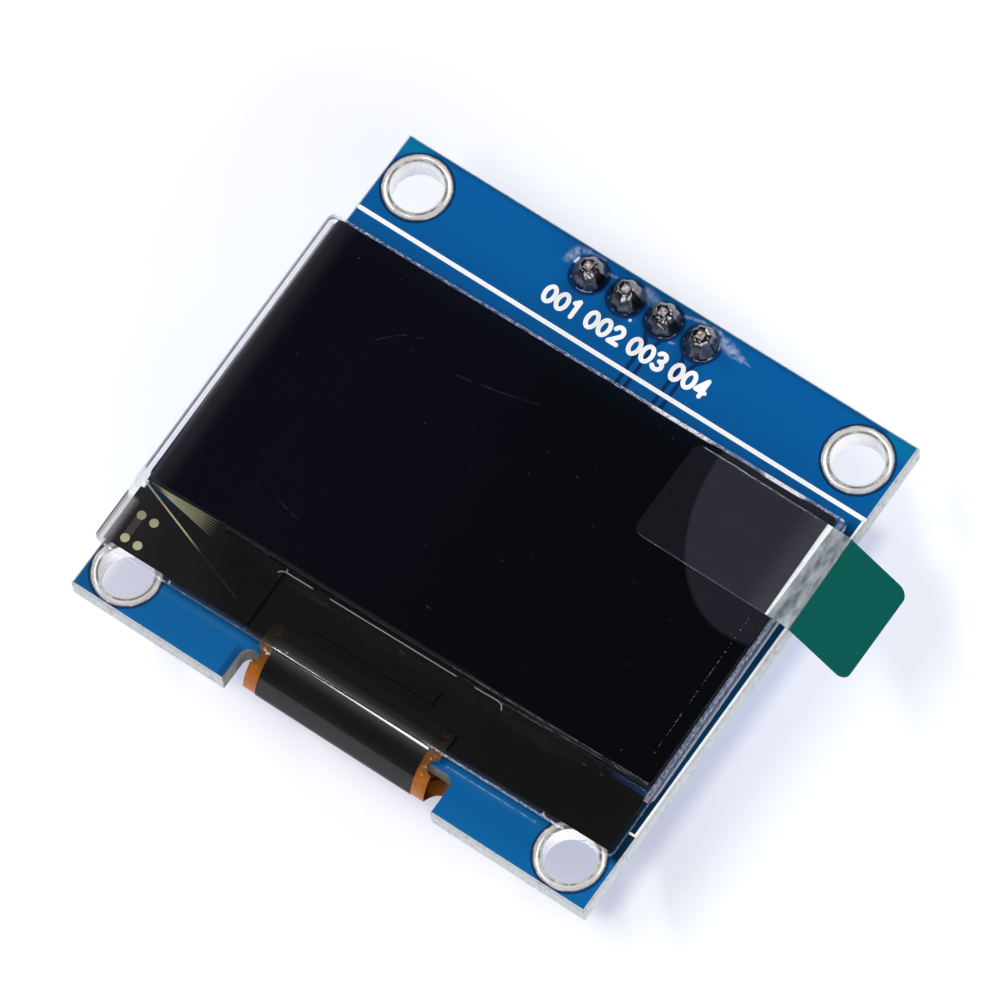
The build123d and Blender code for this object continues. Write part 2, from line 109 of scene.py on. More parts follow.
BOARD_LOW, BOARD_HIGH = node_box("circuit_board")
BOARD_FRONT = BOARD_HIGH.z
GLASS_BACK = node_box("front_glass")[0].z
FILM_FRONT = node_box("protective_film")[1].z
BOW_Y = node_box("flex_ribbon")[0].y
PANEL_CENTRE = middle_of("front_glass")
PANEL_TURN = math.radians(0.8)
PIN_CENTRES = [middle_of(f"header_pin_{number}") for number in PINS]
HOLE_CENTRES = [middle_of(f"hole_plating_{number}") for number in HOLES]
RING_RADIUS = half_height("hole_plating_1")
PAD_RADIUS = half_height("pin_pad_1")


def along_panel(x, y):
    """Turns a place on the board into right and up, from the glass's centre along its edges."""
    right, up = x - PANEL_CENTRE.x, y - PANEL_CENTRE.y
    cos, sin = math.cos(PANEL_TURN), math.sin(PANEL_TURN)
    return right * cos + up * sin, up * cos - right * sin


class Sides:
    """Where a node ends to the left, right, bottom and top of the panel, in millimetres."""

    def __init__(self, node):
        points = (vertex.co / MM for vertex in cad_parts[node].data.vertices)
        rights, ups = zip(*(along_panel(point.x, point.y) for point in points))
        self.left, self.right = min(rights), max(rights)
        self.low, self.high = min(ups), max(ups)


GLASS = Sides("front_glass")
CAP = Sides("cap_glass")
SCREEN = Sides("polarizer")
FILM = Sides("protective_film")
CHIP_TAPE = Sides("chip_tape")


# Shader and geometry trees.

class Term:
    """A socket that stands in a Python expression: sums on it add Math nodes."""

    def __init__(self, graph, socket):
        self.graph = graph
        self.socket = socket

    def __add__(self, other):
        return self.graph.maths("ADD", self, other)

    def __radd__(self, other):
        return self.graph.maths("ADD", other, self)

    def __sub__(self, other):
        return self.graph.maths("SUBTRACT", self, other)

    def __rsub__(self, other):
        return self.graph.maths("SUBTRACT", other, self)

    def __mul__(self, other):
        return self.graph.maths("MULTIPLY", self, other)

    def __truediv__(self, other):
        return self.graph.maths("DIVIDE", self, other)

    def __abs__(self):
        return self.graph.maths("ABSOLUTE", self)

    def __pow__(self, other):
        return self.graph.maths("POWER", self, other)

    def least(self, other):
        return self.graph.maths("MINIMUM", self, other)

    def most(self, other):
        return self.graph.maths("MAXIMUM", self, other)

    def above(self, edge, soft=0.02):
        """1 above the edge and 0 below, with a smooth change over twice the softness."""
        return self.graph.node(
            "ShaderNodeMapRange",
            {"interpolation_type": "SMOOTHSTEP"},
            {"Value": self, "From Min": edge - soft, "From Max": edge + soft},
        )

    def below(self, edge, soft=0.02):
        return 1 - self.above(edge, soft)

    def within(self, low, high, soft=0.02):
        return self.above(low, soft) * self.below(high, soft)


class Graph:
    """A node tree, to which nodes are added by one call each."""

    def __init__(self, tree):
        self.tree = tree

    def node(self, kind, settings=None, inputs=None, output=0):
        made = self.tree.nodes.new(kind)
        for name, value in (settings or {}).items():
            setattr(made, name, value)
        for name, value in (inputs or {}).items():
            self.feed(made.inputs[name], value)
        return Term(self, made.outputs[output]) if made.outputs else None

    def feed(self, socket, value):
        if isinstance(value, Term):
            self.tree.links.new(value.socket, socket)
        elif socket.type == "RGBA" and len(value) == 3:
            socket.default_value = (*value, 1)
        else:
            socket.default_value = value

    def maths(self, operation, *terms):
        return self.node("ShaderNodeMath", {"operation": operation}, dict(enumerate(terms)))


class Finish(Graph):
    """One material, built on Object coordinates in millimetres."""

    def __init__(self, name):
        self.material = bpy.data.materials.new(name)
        self.material.use_nodes = True
        super().__init__(self.material.node_tree)
        self.tree.nodes.clear()
        self.place = self.node("ShaderNodeTexCoord", output=3)
        apart = self.node("ShaderNodeSeparateXYZ", inputs={0: self.place}).socket.node
        self.x, self.y, self.z = (Term(self, socket) * (1 / MM) for socket in apart.outputs)

    def panel_place(self):
        """Right and up from the glass's centre, along its own edges."""
        return along_panel(self.x, self.y)

    def upright(self, steepness=0.8, soft=0.1):
        """1 on faces that stand across the board, 0 on those that lie along it."""
        facing = self.node("ShaderNodeNewGeometry", output=1)
        apart = self.node("ShaderNodeSeparateXYZ", inputs={0: facing}).socket.node
        return abs(Term(self, apart.outputs[2])).below(steepness, soft)

    def grain(self, size, detail=3.0, roughness=0.5, stretch=(1, 1, 1)):
        """Noise from 0 to 1 whose blobs are about size millimetres."""
        scaled = self.node(
            "ShaderNodeMapping",
            inputs={"Vector": self.place, "Scale": tuple(s / (size * MM) for s in stretch)},
        )
        return self.node(
            "ShaderNodeTexNoise",
            {"noise_dimensions": "4D"},
            {"Vector": scaled, "W": GRAIN_SEED, "Scale": 1.0, "Detail": detail, "Roughness": roughness},
        )

    def mix(self, share, first, second):
        """The first colour, going over to the second as share goes from 0 to 1."""
        return self.node(
            "ShaderNodeMix", {"data_type": "RGBA"}, {0: share, 6: first, 7: second}, output=2
        )

    def colour(self, first):
        """A colour that further layers are laid on."""
        return Layers(self, first)

    def disc(self, centre, radius, soft):
        """1 inside a circle."""
        return self.distance(centre).below(radius, soft)

    def distance(self, centre):
        """Distance from a point of the board."""
        return ((self.x - centre[0]) ** 2.0 + (self.y - centre[1]) ** 2.0) ** 0.5

    def stroke(self, start, end, width, soft=0.02, place=None):
        """1 on a straight line of that width."""
        x, y = place or (self.x, self.y)
        run, rise = end[0] - start[0], end[1] - start[1]
        along = ((x - start[0]) * run + (y - start[1]) * rise) / (run ** 2 + rise ** 2)
        along = along.most(0.0).least(1.0)
        far = ((x - start[0] - along * run) ** 2.0 + (y - start[1] - along * rise) ** 2.0) ** 0.5
        return far.below(width / 2, soft)

    def bubble(self, right, up):
        """1 where air has lifted the film at the upper right of the screen."""
        middle, radii = (15.45, 11.04), (6.1, 8.6)
        across, rise = (right - middle[0]) / radii[0], (up - middle[1]) / radii[1]
        return (across * across + rise * rise).below(1.0, 0.035) * right.below(SCREEN.right, 0.05)

    def bump(self, height, depth, strength=1.0):
        """A direction bent by a height from 0 to 1 that stands for depth millimetres."""
        return self.node(
            "ShaderNodeBump", inputs={"Height": height, "Distance": depth * MM, "Strength": strength}
        )

    def surface(self, colour, roughness=0.5, metallic=0.0, bump=None, **others):
        """Ends the material in one Principled surface."""
        inputs = {"Base Color": colour, "Roughness": roughness, "Metallic": metallic}
        inputs.update({name.replace("_", " "): value for name, value in others.items()})
        if bump:
            inputs["Normal"] = bump
        return self.finish(self.node("ShaderNodeBsdfPrincipled", inputs=inputs))

    def clear(self, haze_colour, haze, gloss, ior=1.5, dark_side=None):
        """Ends the material as clear sheet: see-through, with a haze and a reflection."""
        sheen = {"Roughness": gloss, "Color": (1, 1, 1)}
        through = self.node("ShaderNodeBsdfTransparent", inputs={"Color": (1, 1, 1)})
        dull = {"Base Color": haze_colour, "Roughness": 0.45, "Specular IOR Level": 0.1}
        veil = self.node("ShaderNodeBsdfPrincipled", inputs=dull)
        body = self.node("ShaderNodeMixShader", inputs={0: haze, 1: through, 2: veil})
        mirror = self.node("ShaderNodeBsdfAnisotropic", inputs=sheen)
        edge = self.node("ShaderNodeFresnel", inputs={"IOR": ior})
        if dark_side:
            edge = edge * (1 - dark_side)
        return self.finish(self.node("ShaderNodeMixShader", inputs={0: edge, 1: body, 2: mirror}))

    def finish(self, shader):
        self.node("ShaderNodeOutputMaterial", inputs={"Surface": shader})
        return self.material


class Layers:
    """A colour built up in layers."""

    def __init__(self, finish, colour):
        self.finish = finish
        self.colour = colour

    def lay(self, share, colour):
        self.colour = self.finish.mix(share, self.colour, colour)


# Mesh helpers.

def on_panel(x, y, z):
    """The point whose right and up from the glass's centre are x and y, at the level z."""
    cos, sin = math.cos(PANEL_TURN), math.sin(PANEL_TURN)
    return Vector((PANEL_CENTRE.x + x * cos - y * sin, PANEL_CENTRE.y + x * sin + y * cos, z))


def piece(name, mesh, material):
    """A finished piece in the shared frame, riding on the one body."""
    made = bpy.data.objects.new(name, mesh)
    bpy.context.scene.collection.objects.link(made)
    made.data.materials.clear()
    made.data.materials.append(material)
    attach(made, BODY)
    return made


def mesh_from(work, name, smooth=False):
    """Turns a bmesh in millimetres into a mesh in metres."""
    bmesh.ops.scale(work, vec=(MM, MM, MM), verts=work.verts)
    bmesh.ops.recalc_face_normals(work, faces=work.faces)
    mesh = bpy.data.meshes.new(name)
    work.to_mesh(mesh)
    work.free()
    for face in mesh.polygons:
        face.use_smooth = smooth
    return mesh


def flat_piece(name, work, material):
    """A finished piece from a bmesh in millimetres."""
    return piece(name, mesh_from(work, name), material)


def slab(work, outline, low, high):
    """A closed flat piece with that outline, a list of x and y."""
    below = [work.verts.new((x, y, low)) for x, y in outline]
    above = [work.verts.new((x, y, high)) for x, y in outline]
    work.faces.new(list(reversed(below)))
    work.faces.new(above)
    count = len(outline)
    for index in range(count):
        after = (index + 1) % count
        work.faces.new((below[index], below[after], above[after], above[index]))


def round_end(station, way):
    """The stations that round off the end of a line of print."""
    point, heading, half = station
    turns = (math.radians(21 * step) for step in range(1, 5))
    return [
        (point + heading * way * half * math.sin(turn), heading, half * math.cos(turn)) for turn in turns
    ]


def line_of_print(work, points, width, low, high, closed=False):
    """A closed flat line through points, with round ends unless it is a loop."""
    path = [Vector(point) for point in points]
    count = len(path)
    stations = []
    for index, point in enumerate(path):
        before = path[index - 1] if index or closed else point
        after = path[(index + 1) % count] if index + 1 < count or closed else point
        stations.append((point, (after - before).normalized(), width / 2))
    if not closed:
        stations = round_end(stations[0], -1)[::-1] + stations + round_end(stations[-1], 1)
    rails = []
    for point, heading, half in stations:
        side = Vector((-heading.y, heading.x)) * half
        corners = ((1, low), (-1, low), (-1, high), (1, high))
        rails.append([work.verts.new((*(point + way * side), level)) for way, level in corners])
    for index in range(len(rails) if closed else len(rails) - 1):
        here, there = rails[index], rails[(index + 1) % len(rails)]
        for corner in range(4):
            after = (corner + 1) % 4
            work.faces.new((here[corner], here[after], there[after], there[corner]))
    if not closed:
        work.faces.new(rails[0])
        work.faces.new(list(reversed(rails[-1])))


def arc(centre, radii, start=0, end=360, steps=18):
    """Points on an ellipse from one angle to another, in degrees."""
    points = []
    for step in range(steps + 1):
        turn = math.radians(start + (end - start) * step / steps)
        points.append((centre[0] + radii[0] * math.cos(turn), centre[1] + radii[1] * math.sin(turn)))
    return points


def shrunk_copy(node, inset, bevel=0.0):
    """A copy of a node's mesh with its faces drawn in a little, so that no two faces coincide."""
    same_place, flat, sharp_corner = 1e-7, math.radians(0.5), math.radians(30)
    work = bmesh.new()
    work.from_mesh(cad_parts[node].data)
    bmesh.ops.remove_doubles(work, verts=work.verts, dist=same_place)
    bmesh.ops.dissolve_limit(work, angle_limit=flat, verts=work.verts, edges=work.edges)
    work.normal_update()
    if bevel:
        closed = (edge for edge in work.edges if edge.is_manifold)
        sharp = [edge for edge in closed if edge.calc_face_angle() > sharp_corner]
        bmesh.ops.bevel(work, geom=sharp, offset=bevel * MM, segments=2, affect="EDGES", profile=0.5)
    work.normal_update()
    for vertex in work.verts:
        vertex.co -= vertex.normal * inset * MM
    mesh = bpy.data.meshes.new(node)
    work.to_mesh(mesh)
    work.free()
    return mesh


def dress(nodes, material):
    """Gives CAD nodes their finish."""
    for node in nodes:
        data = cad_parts[node].data
        data.materials.clear()
        data.materials.append(material)


def numbered(stem, count):
    return [f"{stem}_{index}" for index in range(1, count + 1)]


# Settings.

class BoardSettings(bpy.types.PropertyGroup):
    """Looks of the circuit board and its print."""

    mask_colour: FloatVectorProperty(
        name="Mask colour", description="Blue mask over copper", subtype="COLOR", size=3, min=0, max=1,
        default=srgb(0, 92, 160),
    )
    bare_colour: FloatVectorProperty(
        name="Bare colour", description="Blue mask where no copper lies under it", subtype="COLOR", size=3,
        min=0, max=1, default=srgb(4, 58, 112),
    )
    core_colour: FloatVectorProperty(
        name="Core colour", description="Cut glass-fibre core at the edges", subtype="COLOR", size=3,
        min=0, max=1, default=srgb(182, 186, 190),
    )
    print_height: FloatProperty(
        name="Print height", description="Thickness of the printed ink in mm", default=0.02, min=0.005,
        max=0.1,
    )
    digit_height: FloatProperty(
        name="Digit height", description="Height of the numbers beside the pins in mm", default=1.18,
        min=0.5, max=3,
    )
    digit_advance: FloatProperty(
        name="Digit advance", description="Distance from digit to digit in mm", default=0.85, min=0.5,
        max=3,
    )
    stroke_width: FloatProperty(
        name="Stroke width", description="Width of the digits' strokes in mm", default=0.27, min=0.05,
        max=0.5,
    )


class PanelSettings(bpy.types.PropertyGroup):
    """Looks of the glass panel, its film and its tab."""

    screen_colour: FloatVectorProperty(
        name="Screen colour", description="Dark sheet over the display", subtype="COLOR", size=3, min=0,
        max=1, default=srgb(6, 11, 18),
    )
    grip_colour: FloatVectorProperty(
        name="Grip colour", description="Green end of the pull tab", subtype="COLOR", size=3, min=0,
        max=1, default=srgb(0, 83, 76),
    )
    ribbon_colour: FloatVectorProperty(
        name="Ribbon colour", description="Amber polyimide of the ribbon", subtype="COLOR", size=3, min=0,
        max=1, default=srgb(156, 88, 16),
    )


class DustSettings(bpy.types.PropertyGroup):
    """Amount and size of the dust."""

    density: FloatProperty(
        name="Density", description="Specks for each square metre of film", default=90000, min=0,
        max=1000000,
    )
    smallest: FloatProperty(
        name="Smallest", description="Radius of the finest specks in mm", default=0.012, min=0.001, max=0.1,
    )
    largest: FloatProperty(
        name="Largest", description="Radius of the largest specks in mm", default=0.035, min=0.001, max=0.2,
    )
    seed: IntProperty(name="Seed", description="Seed of the scatter", default=7, min=0)


class StageSettings(bpy.types.PropertyGroup):
    """Floor, lights and camera."""

    azimuth: FloatProperty(
        name="Azimuth", description="Side that the camera looks from, in degrees from x", default=-46.39315,
    )
    elevation: FloatProperty(
        name="Elevation", description="Height of the camera over the board's plane in degrees",
        default=67.85473, min=-90, max=90,
    )
    roll: FloatProperty(
        name="Roll", description="Turn of the picture about the line of sight in degrees", default=-9.25723,
    )
    distance: FloatProperty(
        name="Distance", description="From the camera to the board's plane in mm", default=451.652, min=1,
    )
    aim: FloatVectorProperty(
        name="Aim", description="Point that the camera looks at in mm", size=3, default=(-0.6545, 1.5044, 0),
    )
    lens: FloatProperty(
        name="Lens", description="Focal length of the camera in mm", default=291.63, min=20, max=600,
    )
    sensor: FloatProperty(
        name="Sensor", description="Width of the camera's picture in mm", default=36, min=1,
    )
    key_power: FloatProperty(
        name="Key power", description="Power of the left light, which the others are shares of", default=1.3,
        min=0, unit="POWER",
    )
    room_light: FloatProperty(
        name="Room light", description="Strength of the light from all round", default=0.02, min=0,
    )


# Finishes.

NOTCH_LEFT, NOTCH_RIGHT = -7.0, 7.3
# Colour of the painted shadow under the glass ledge.
SHADE_BLUE = srgb(3, 20, 40)
FILM_IOR = 1.2
TINNED_END = 0.3
CROWN = 1.15
# Upper and lower corner of the fan's narrow and broad end, from the glass's centre.
FAN_TIP = ((-16.7, -9.10), (-16.4, -9.18))
FAN_END = ((-11.7, -8.93), (-11.7, -9.93))
# Each row holds one line's points, in millimetres on the board.
CLEARANCE_LINES = (
    ((0.45, 14.45), (0.85, 13.75), (1.13, 13.3), (1.15, 9.5)),
    ((2.2, 14.45), (1.85, 14.0), (1.68, 13.5), (1.68, 9.5)),
    ((2.75, 14.5), (3.4, 13.75), (3.56, 13.3), (3.58, 9.5)),
    ((4.6, 14.2), (4.25, 13.75), (4.1, 13.3), (4.09, 9.5)),
)
# Start, end, width and strength of each smear, in millimetres on the board.
FLUX_SMEARS = (
    ((-5.4, 15.2), (-5.2, 15.85), 0.5, 0.8), ((-5.25, 15.85), (-4.7, 16.12), 0.32, 0.6),
    ((-4.7, 16.15), (-3.6, 16.2), 0.14, 0.35), ((-3.05, 15.6), (-2.5, 15.68), 0.15, 0.75),
    ((-0.5, 15.85), (0.25, 15.6), 0.55, 0.65), ((2.1, 15.85), (3.15, 16.12), 0.17, 0.85),
    ((3.15, 16.12), (4.3, 16.15), 0.16, 0.5), ((4.3, 16.1), (4.8, 15.75), 0.22, 0.6),
    ((4.85, 15.7), (5.6, 15.55), 0.55, 0.85), ((5.6, 15.5), (6.25, 15.42), 0.32, 0.95),
    ((6.25, 15.4), (6.95, 15.32), 0.12, 0.5), ((2.25, 14.05), (2.5, 14.12), 0.13, 0.9),
)


def mask_finish(settings):
    """Blue mask with the copper's outline showing, whitish flux left by soldering, cut fibre edges, painted
    shade round the panel and on the notch walls, and a painted reflection of the glass's edge.
    """
    made = Finish("blue_mask")
    x, y = made.x, made.y
    paint = made.colour(settings.mask_colour)
    paint.lay((made.grain(1.6, 2.0) - 0.35) * 0.3, srgb(0, 104, 176))
    paint.lay(y.above(BOARD_HIGH.y - 0.28, 0.22) * 0.6, srgb(0, 62, 100))
    corners = x.above(BOARD_HIGH.x - 1.9, 0.1) + x.below(BOARD_LOW.x + 1.65, 0.8)
    paint.lay(corners * y.above(BOARD_HIGH.y - 1.2, 0.3) * 0.5, srgb(0, 128, 160))
    paint.lay(y.below(BOARD_LOW.y + 3.61, 1.2) * 0.4, srgb(0, 110, 172))
    bare_end = x.below(BOARD_LOW.x + 3.05, 0.05) * y.below(BOARD_LOW.y + 1.61, 0.1)
    paint.lay(bare_end * 0.5, srgb(0, 74, 122))
    # Painted shadow that the glass ledge casts on the board.
    ledge_shade = made.panel_place()[1].above(GLASS.low + 0.2, 0.28) * y.below(-10.0)
    paint.lay(ledge_shade * 0.9, SHADE_BLUE)
    # Painted shade on the board along the panel's right side.
    panel_side_shade = x.above(BOARD_HIGH.x - 0.83, 0.12) * y.within(-12.0, 10.6, 0.5)
    paint.lay(panel_side_shade * 0.85, srgb(0, 46, 74))
    # Painted shade on the board under the panel's lower part.
    screen_shade = y.within(-10.2, -7.9, 0.4)
    paint.lay(screen_shade * 0.65, srgb(2, 30, 62))
    clear = 0.0
    for hole in HOLE_CENTRES:
        ring = made.distance((hole.x, hole.y)).within(RING_RADIUS - 0.05, RING_RADIUS + 0.14, 0.05)
        clear = ring.most(clear)
    for pin in PIN_CENTRES:
        ring = made.distance((pin.x, pin.y)).within(PAD_RADIUS - 0.15, PAD_RADIUS + 0.2, 0.08)
        clear = ring.most(clear)
    for line in CLEARANCE_LINES:
        for start, end in zip(line, line[1:]):
            clear = clear.most(made.stroke(start, end, 0.24, 0.05))
    paint.lay(clear * 0.85, srgb(6, 34, 82))
    beside_notch = x.within(NOTCH_LEFT - 0.35, NOTCH_LEFT + 0.1, 0.15) * y.below(-14.1, 0.25)
    paint.lay(beside_notch * 0.7, settings.bare_colour)
    cloud = made.grain(0.3, 4.0, 0.7).above(0.47, 0.13)
    for start, end, width, strength in FLUX_SMEARS:
        smear = made.stroke(start, end, width, width * 0.42)
        paint.lay(smear * cloud * (strength * 0.85), srgb(172, 190, 226))
    drop = made.stroke((-4.98, 15.2), (-4.92, 15.5), 0.15, 0.03).most(made.disc((-0.35, 13.95), 0.09, 0.04))
    paint.lay(drop, srgb(236, 240, 250))
    # A painted reflection of the glass's lower edge in the glossy mask, broken into dashes.
    dashes = made.grain(0.25, 3.0, 0.6).above(0.45, 0.1)
    painted_edge_reflection = made.stroke((6.3, -13.48), (12.3, -13.42), 0.07, 0.03) * dashes
    paint.lay(painted_edge_reflection * 0.55, srgb(150, 195, 232))
    cut = made.upright(0.9, 0.03)
    fibre = made.grain(0.22, 4.0, 0.7, (1, 1, 0.35))
    edge = made.colour(settings.core_colour)
    edge.lay(fibre.below(0.42, 0.05) * 0.5, srgb(112, 116, 120))
    edge.lay(fibre.above(0.62, 0.05) * 0.5, srgb(226, 230, 232))
    foil_line = made.z.within(BOARD_FRONT - 0.17, BOARD_FRONT - 0.1, 0.02)
    edge.lay(foil_line * 0.5, srgb(70, 80, 92))
    # Painted shade with a painted amber reflection on the notch walls.
    notch = x.within(NOTCH_LEFT, NOTCH_RIGHT, 0.02) * y.within(BOARD_LOW.y + 0.09, -13.0, 0.03)
    edge.lay(notch * 0.7, srgb(84, 76, 60))
    paint.lay(cut, edge.colour)
    relief = made.grain(0.5, 3.0) * (1 - cut) * 0.25 + fibre * cut
    rough = 0.3 + cut * 0.35
    bump = made.bump(relief, 0.02, 0.5)
    return made.surface(paint.colour, rough, bump=bump, Specular_IOR_Level=0.3)


def tin_finish(name, shine=0.3, depth=0.05):
    """Uneven hot-dipped tin."""
    made = Finish(name)
    wave = made.grain(0.9, 2.0, 0.5)
    nick = made.grain(0.5, 3.0, 0.6).above(0.64, 0.02)
    tone = made.mix(made.grain(0.7, 2.0), (0.98, 0.98, 0.97), (0.88, 0.88, 0.89))
    tone = made.mix(nick * 0.7, tone, (0.30, 0.26, 0.24))
    return made.surface(tone, shine + made.grain(0.3) * 0.12, 0.55, bump=made.bump(wave, depth))


def ring_finish():
    """Bright tin of the mounting holes, with a brown line at each edge of the flange."""
    made = Finish("ring_tin")
    lines = 0.0
    for hole in HOLE_CENTRES:
        far = made.distance((hole.x, hole.y))
        outer = far.within(RING_RADIUS - 0.06, RING_RADIUS + 0.05, 0.03)
        lines = far.within(1.62, 1.72, 0.03).most(outer).most(lines)
    wave = made.grain(0.9, 2.0, 0.5)
    broken = made.grain(0.8, 3.0, 0.6).above(0.46, 0.1)
    tone = made.mix(lines * broken * 0.8, (0.98, 0.97, 0.96), srgb(92, 78, 70))
    return made.surface(tone, 0.22 + wave * 0.1, 0.45, bump=made.bump(wave, 0.02))


def dome_finish():
    """Solder with a dark glossy skin of flux."""
    made = Finish("dark_solder")
    wave = made.grain(0.3, 3.0, 0.6)
    tone = made.mix(made.grain(0.5, 2.0), (0.22, 0.22, 0.235), (0.07, 0.07, 0.08))
    return made.surface(tone, 0.14 + wave * 0.14, 1.0, bump=made.bump(wave, 0.03))


def pin_finish():
    """Square pins: plated sides, and a paler cut end."""
    made = Finish("pin_metal")
    end = made.z.above(BOARD_FRONT + 1.2, 0.03)
    darkened = made.grain(0.16, 3.0, 0.6).above(0.5, 0.06)
    tone = made.mix(end, (0.72, 0.60, 0.36), made.mix(darkened, (0.86, 0.80, 0.80), (0.36, 0.25, 0.22)))
    scratch = made.grain(0.1, 3.0, 0.6, (1, 1, 0.15))
    return made.surface(tone, 0.28 + scratch * 0.2, 1 - end * 0.6, bump=made.bump(scratch, 0.01))


def ink_finish():
    """White printed ink with a slightly uneven edge tone and a faint painted glow."""
    made = Finish("white_ink")
    tone = made.mix(made.grain(0.3, 3.0).above(0.6, 0.15) * 0.2, (0.98, 0.98, 0.99), srgb(206, 214, 226))
    bump = made.bump(made.grain(0.12), 0.01)
    # The emission is a faint painted glow that lifts the ink towards pure white.
    return made.surface(tone, 0.55, bump=bump, Emission_Color=(1, 1, 1), Emission_Strength=0.12)


def plastic_finish(name, colour, rough=0.45, grain=0.15):
    """Moulded plastic with a fine skin."""
    made = Finish(name)
    skin = made.grain(grain, 3.0)
    tone = made.mix(skin, colour, tuple(level * 0.75 for level in colour))
    return made.surface(tone, rough + skin * 0.12, bump=made.bump(skin, 0.01))


def screen_finish(settings):
    """Near-black sheet, with the faint tints that the light leaves on it."""
    made = Finish("dark_screen")
    right, up = made.panel_place()
    paint = made.colour(settings.screen_colour)
    paint.lay(right.below(-2.0, 9.0) * 0.6, srgb(22, 21, 36))
    paint.lay(up.above(SCREEN.high - 0.6, 0.9) * 0.5, srgb(22, 32, 54))
    paint.lay(right.below(SCREEN.left + 0.75, 0.9) * 0.55, srgb(82, 80, 88))
    paint.lay(right.below(SCREEN.left + 0.15, 0.2) * 0.6, srgb(122, 112, 116))
    paint.lay(right.within(SCREEN.left + 1.65, SCREEN.left + 4.85, 0.9) * 0.3, srgb(20, 12, 40))
    paint.lay(made.grain(6.0, 2.0).above(0.55, 0.2) * 0.2, srgb(10, 12, 26))
    bump = made.bump(made.grain(5.0, 1.0), 0.01, 0.3)
    rough = 0.12 + made.grain(3.0) * 0.06 + made.upright() * 0.6
    return made.surface(paint.colour, rough, bump=bump, Specular_IOR_Level=0.3)


def glass_finish():
    """Clear glass whose cut edges carry painted light and glints, with a painted glow towards the ledge's
    left end and a painted dark line along the ledge's left side.
    """
    made = Finish("panel_glass")
    right, up = made.panel_place()
    sides = made.upright()
    on_ledge = up.below(FILM.low - 0.4, 0.08)
    # Painted glow in the glass towards the ledge's left end.
    left_end = right.below(GLASS.left + 0.5, 0.6) * on_ledge * 0.55
    lower_edge = up.below(GLASS.low + 0.2, 0.1)
    bare_end = right.below(GLASS.left + 0.3, 0.05) * (1 - on_ledge)
    inner = up.within(FILM.low - 0.25, CAP.low + 0.65, 0.1) * (1 - right.above(4.0, 2.0) * 0.5)
    right_end = right.above(SCREEN.right - 0.25, 0.05)
    quiet = (lower_edge * right.below(5.2, 0.6) * 0.93).most(bare_end * 0.85)
    quiet = quiet.most(inner * 0.9).most(right_end * 0.8)
    sparkle = made.grain(0.22, 4.0, 0.7).above(0.52, 0.08)
    glint = lower_edge * made.grain(0.5, 2.0, 0.6).above(0.66, 0.02) * 0.5
    haze = 0.001 + left_end + lower_edge * 0.02 + sides * (0.08 + sparkle * 0.6) * (1 - quiet) + glint
    # Painted dark line along the ledge's left side.
    rim = right.below(GLASS.left + 0.1, 0.02) * on_ledge
    tone = made.mix(rim, srgb(222, 222, 228), srgb(66, 54, 52))
    dark_side = sides * (1 - lower_edge) * inner.most(right_end) * 0.85
    return made.clear(tone, (haze + rim * 0.75).least(0.9), 0.02, dark_side=dark_side)


def film_finish():
    """Clear film: fine arc scratches, a painted sheen over a lifted bubble, edges that catch the light,
    painted light on its side margins and painted glints along its top edge.
    """
    made = Finish("clear_film")
    right, up = made.panel_place()
    scratches = (
        ((-10.7, 6.55), (-9.7, 7.55)), ((-9.7, 7.55), (-8.5, 8.05)), ((-5.7, 7.2), (-2.7, 7.75)),
        ((-2.7, 7.75), (-0.7, 8.25)), ((-9.6, -4.4), (-8.3, -4.7)),
    )
    marks = made.stroke(*scratches[0], 0.05, 0.03, (right, up))
    for start, end in scratches[1:]:
        marks = marks.most(made.stroke(start, end, 0.05, 0.03, (right, up)))
    broken = made.grain(0.3, 3.0, 0.6).above(0.5, 0.1)
    mottle = made.grain(0.16, 3.0, 0.6)
    # Painted light on the film's margin right of the screen and on its right edge.
    beside_screen = right.within(SCREEN.right + 0.17, FILM.right - 0.24, 0.05)
    rim = beside_screen * (0.06 + mottle.above(0.52, 0.1) * 0.24)
    rim = rim + right.above(FILM.right - 0.12, 0.02) * 0.3
    # Painted light on the film's margin left of the screen.
    left_margin = right.below(SCREEN.left - 0.13, 0.05) * 0.12
    # Painted glints along the top edge, strongest where the film stands lifted.
    lifted = right.within(12.0, 14.5, 0.3).most(right.within(4.6, 8.4, 0.4) * 0.7)
    flash = lifted * up.above(SCREEN.high - 0.07, 0.04) * mottle.above(0.42, 0.05) * 1.2
    flash = flash + up.above(SCREEN.high, 0.03) * mottle.above(0.56, 0.05) * 0.5
    edge = made.upright() * up.above(FILM.low + 0.15, 0.1)
    # The bubble carries a painted sheen.
    haze = 0.001 + marks * broken * 0.03 + made.bubble(right, up) * 0.016
    haze = haze + rim + left_margin + flash + edge * broken * 0.5
    white = rim.most(left_margin).most(flash).least(1.0)
    tone = made.mix(white, srgb(198, 198, 224), srgb(240, 242, 246))
    return made.clear(tone, haze.least(0.9), 0.06, FILM_IOR)


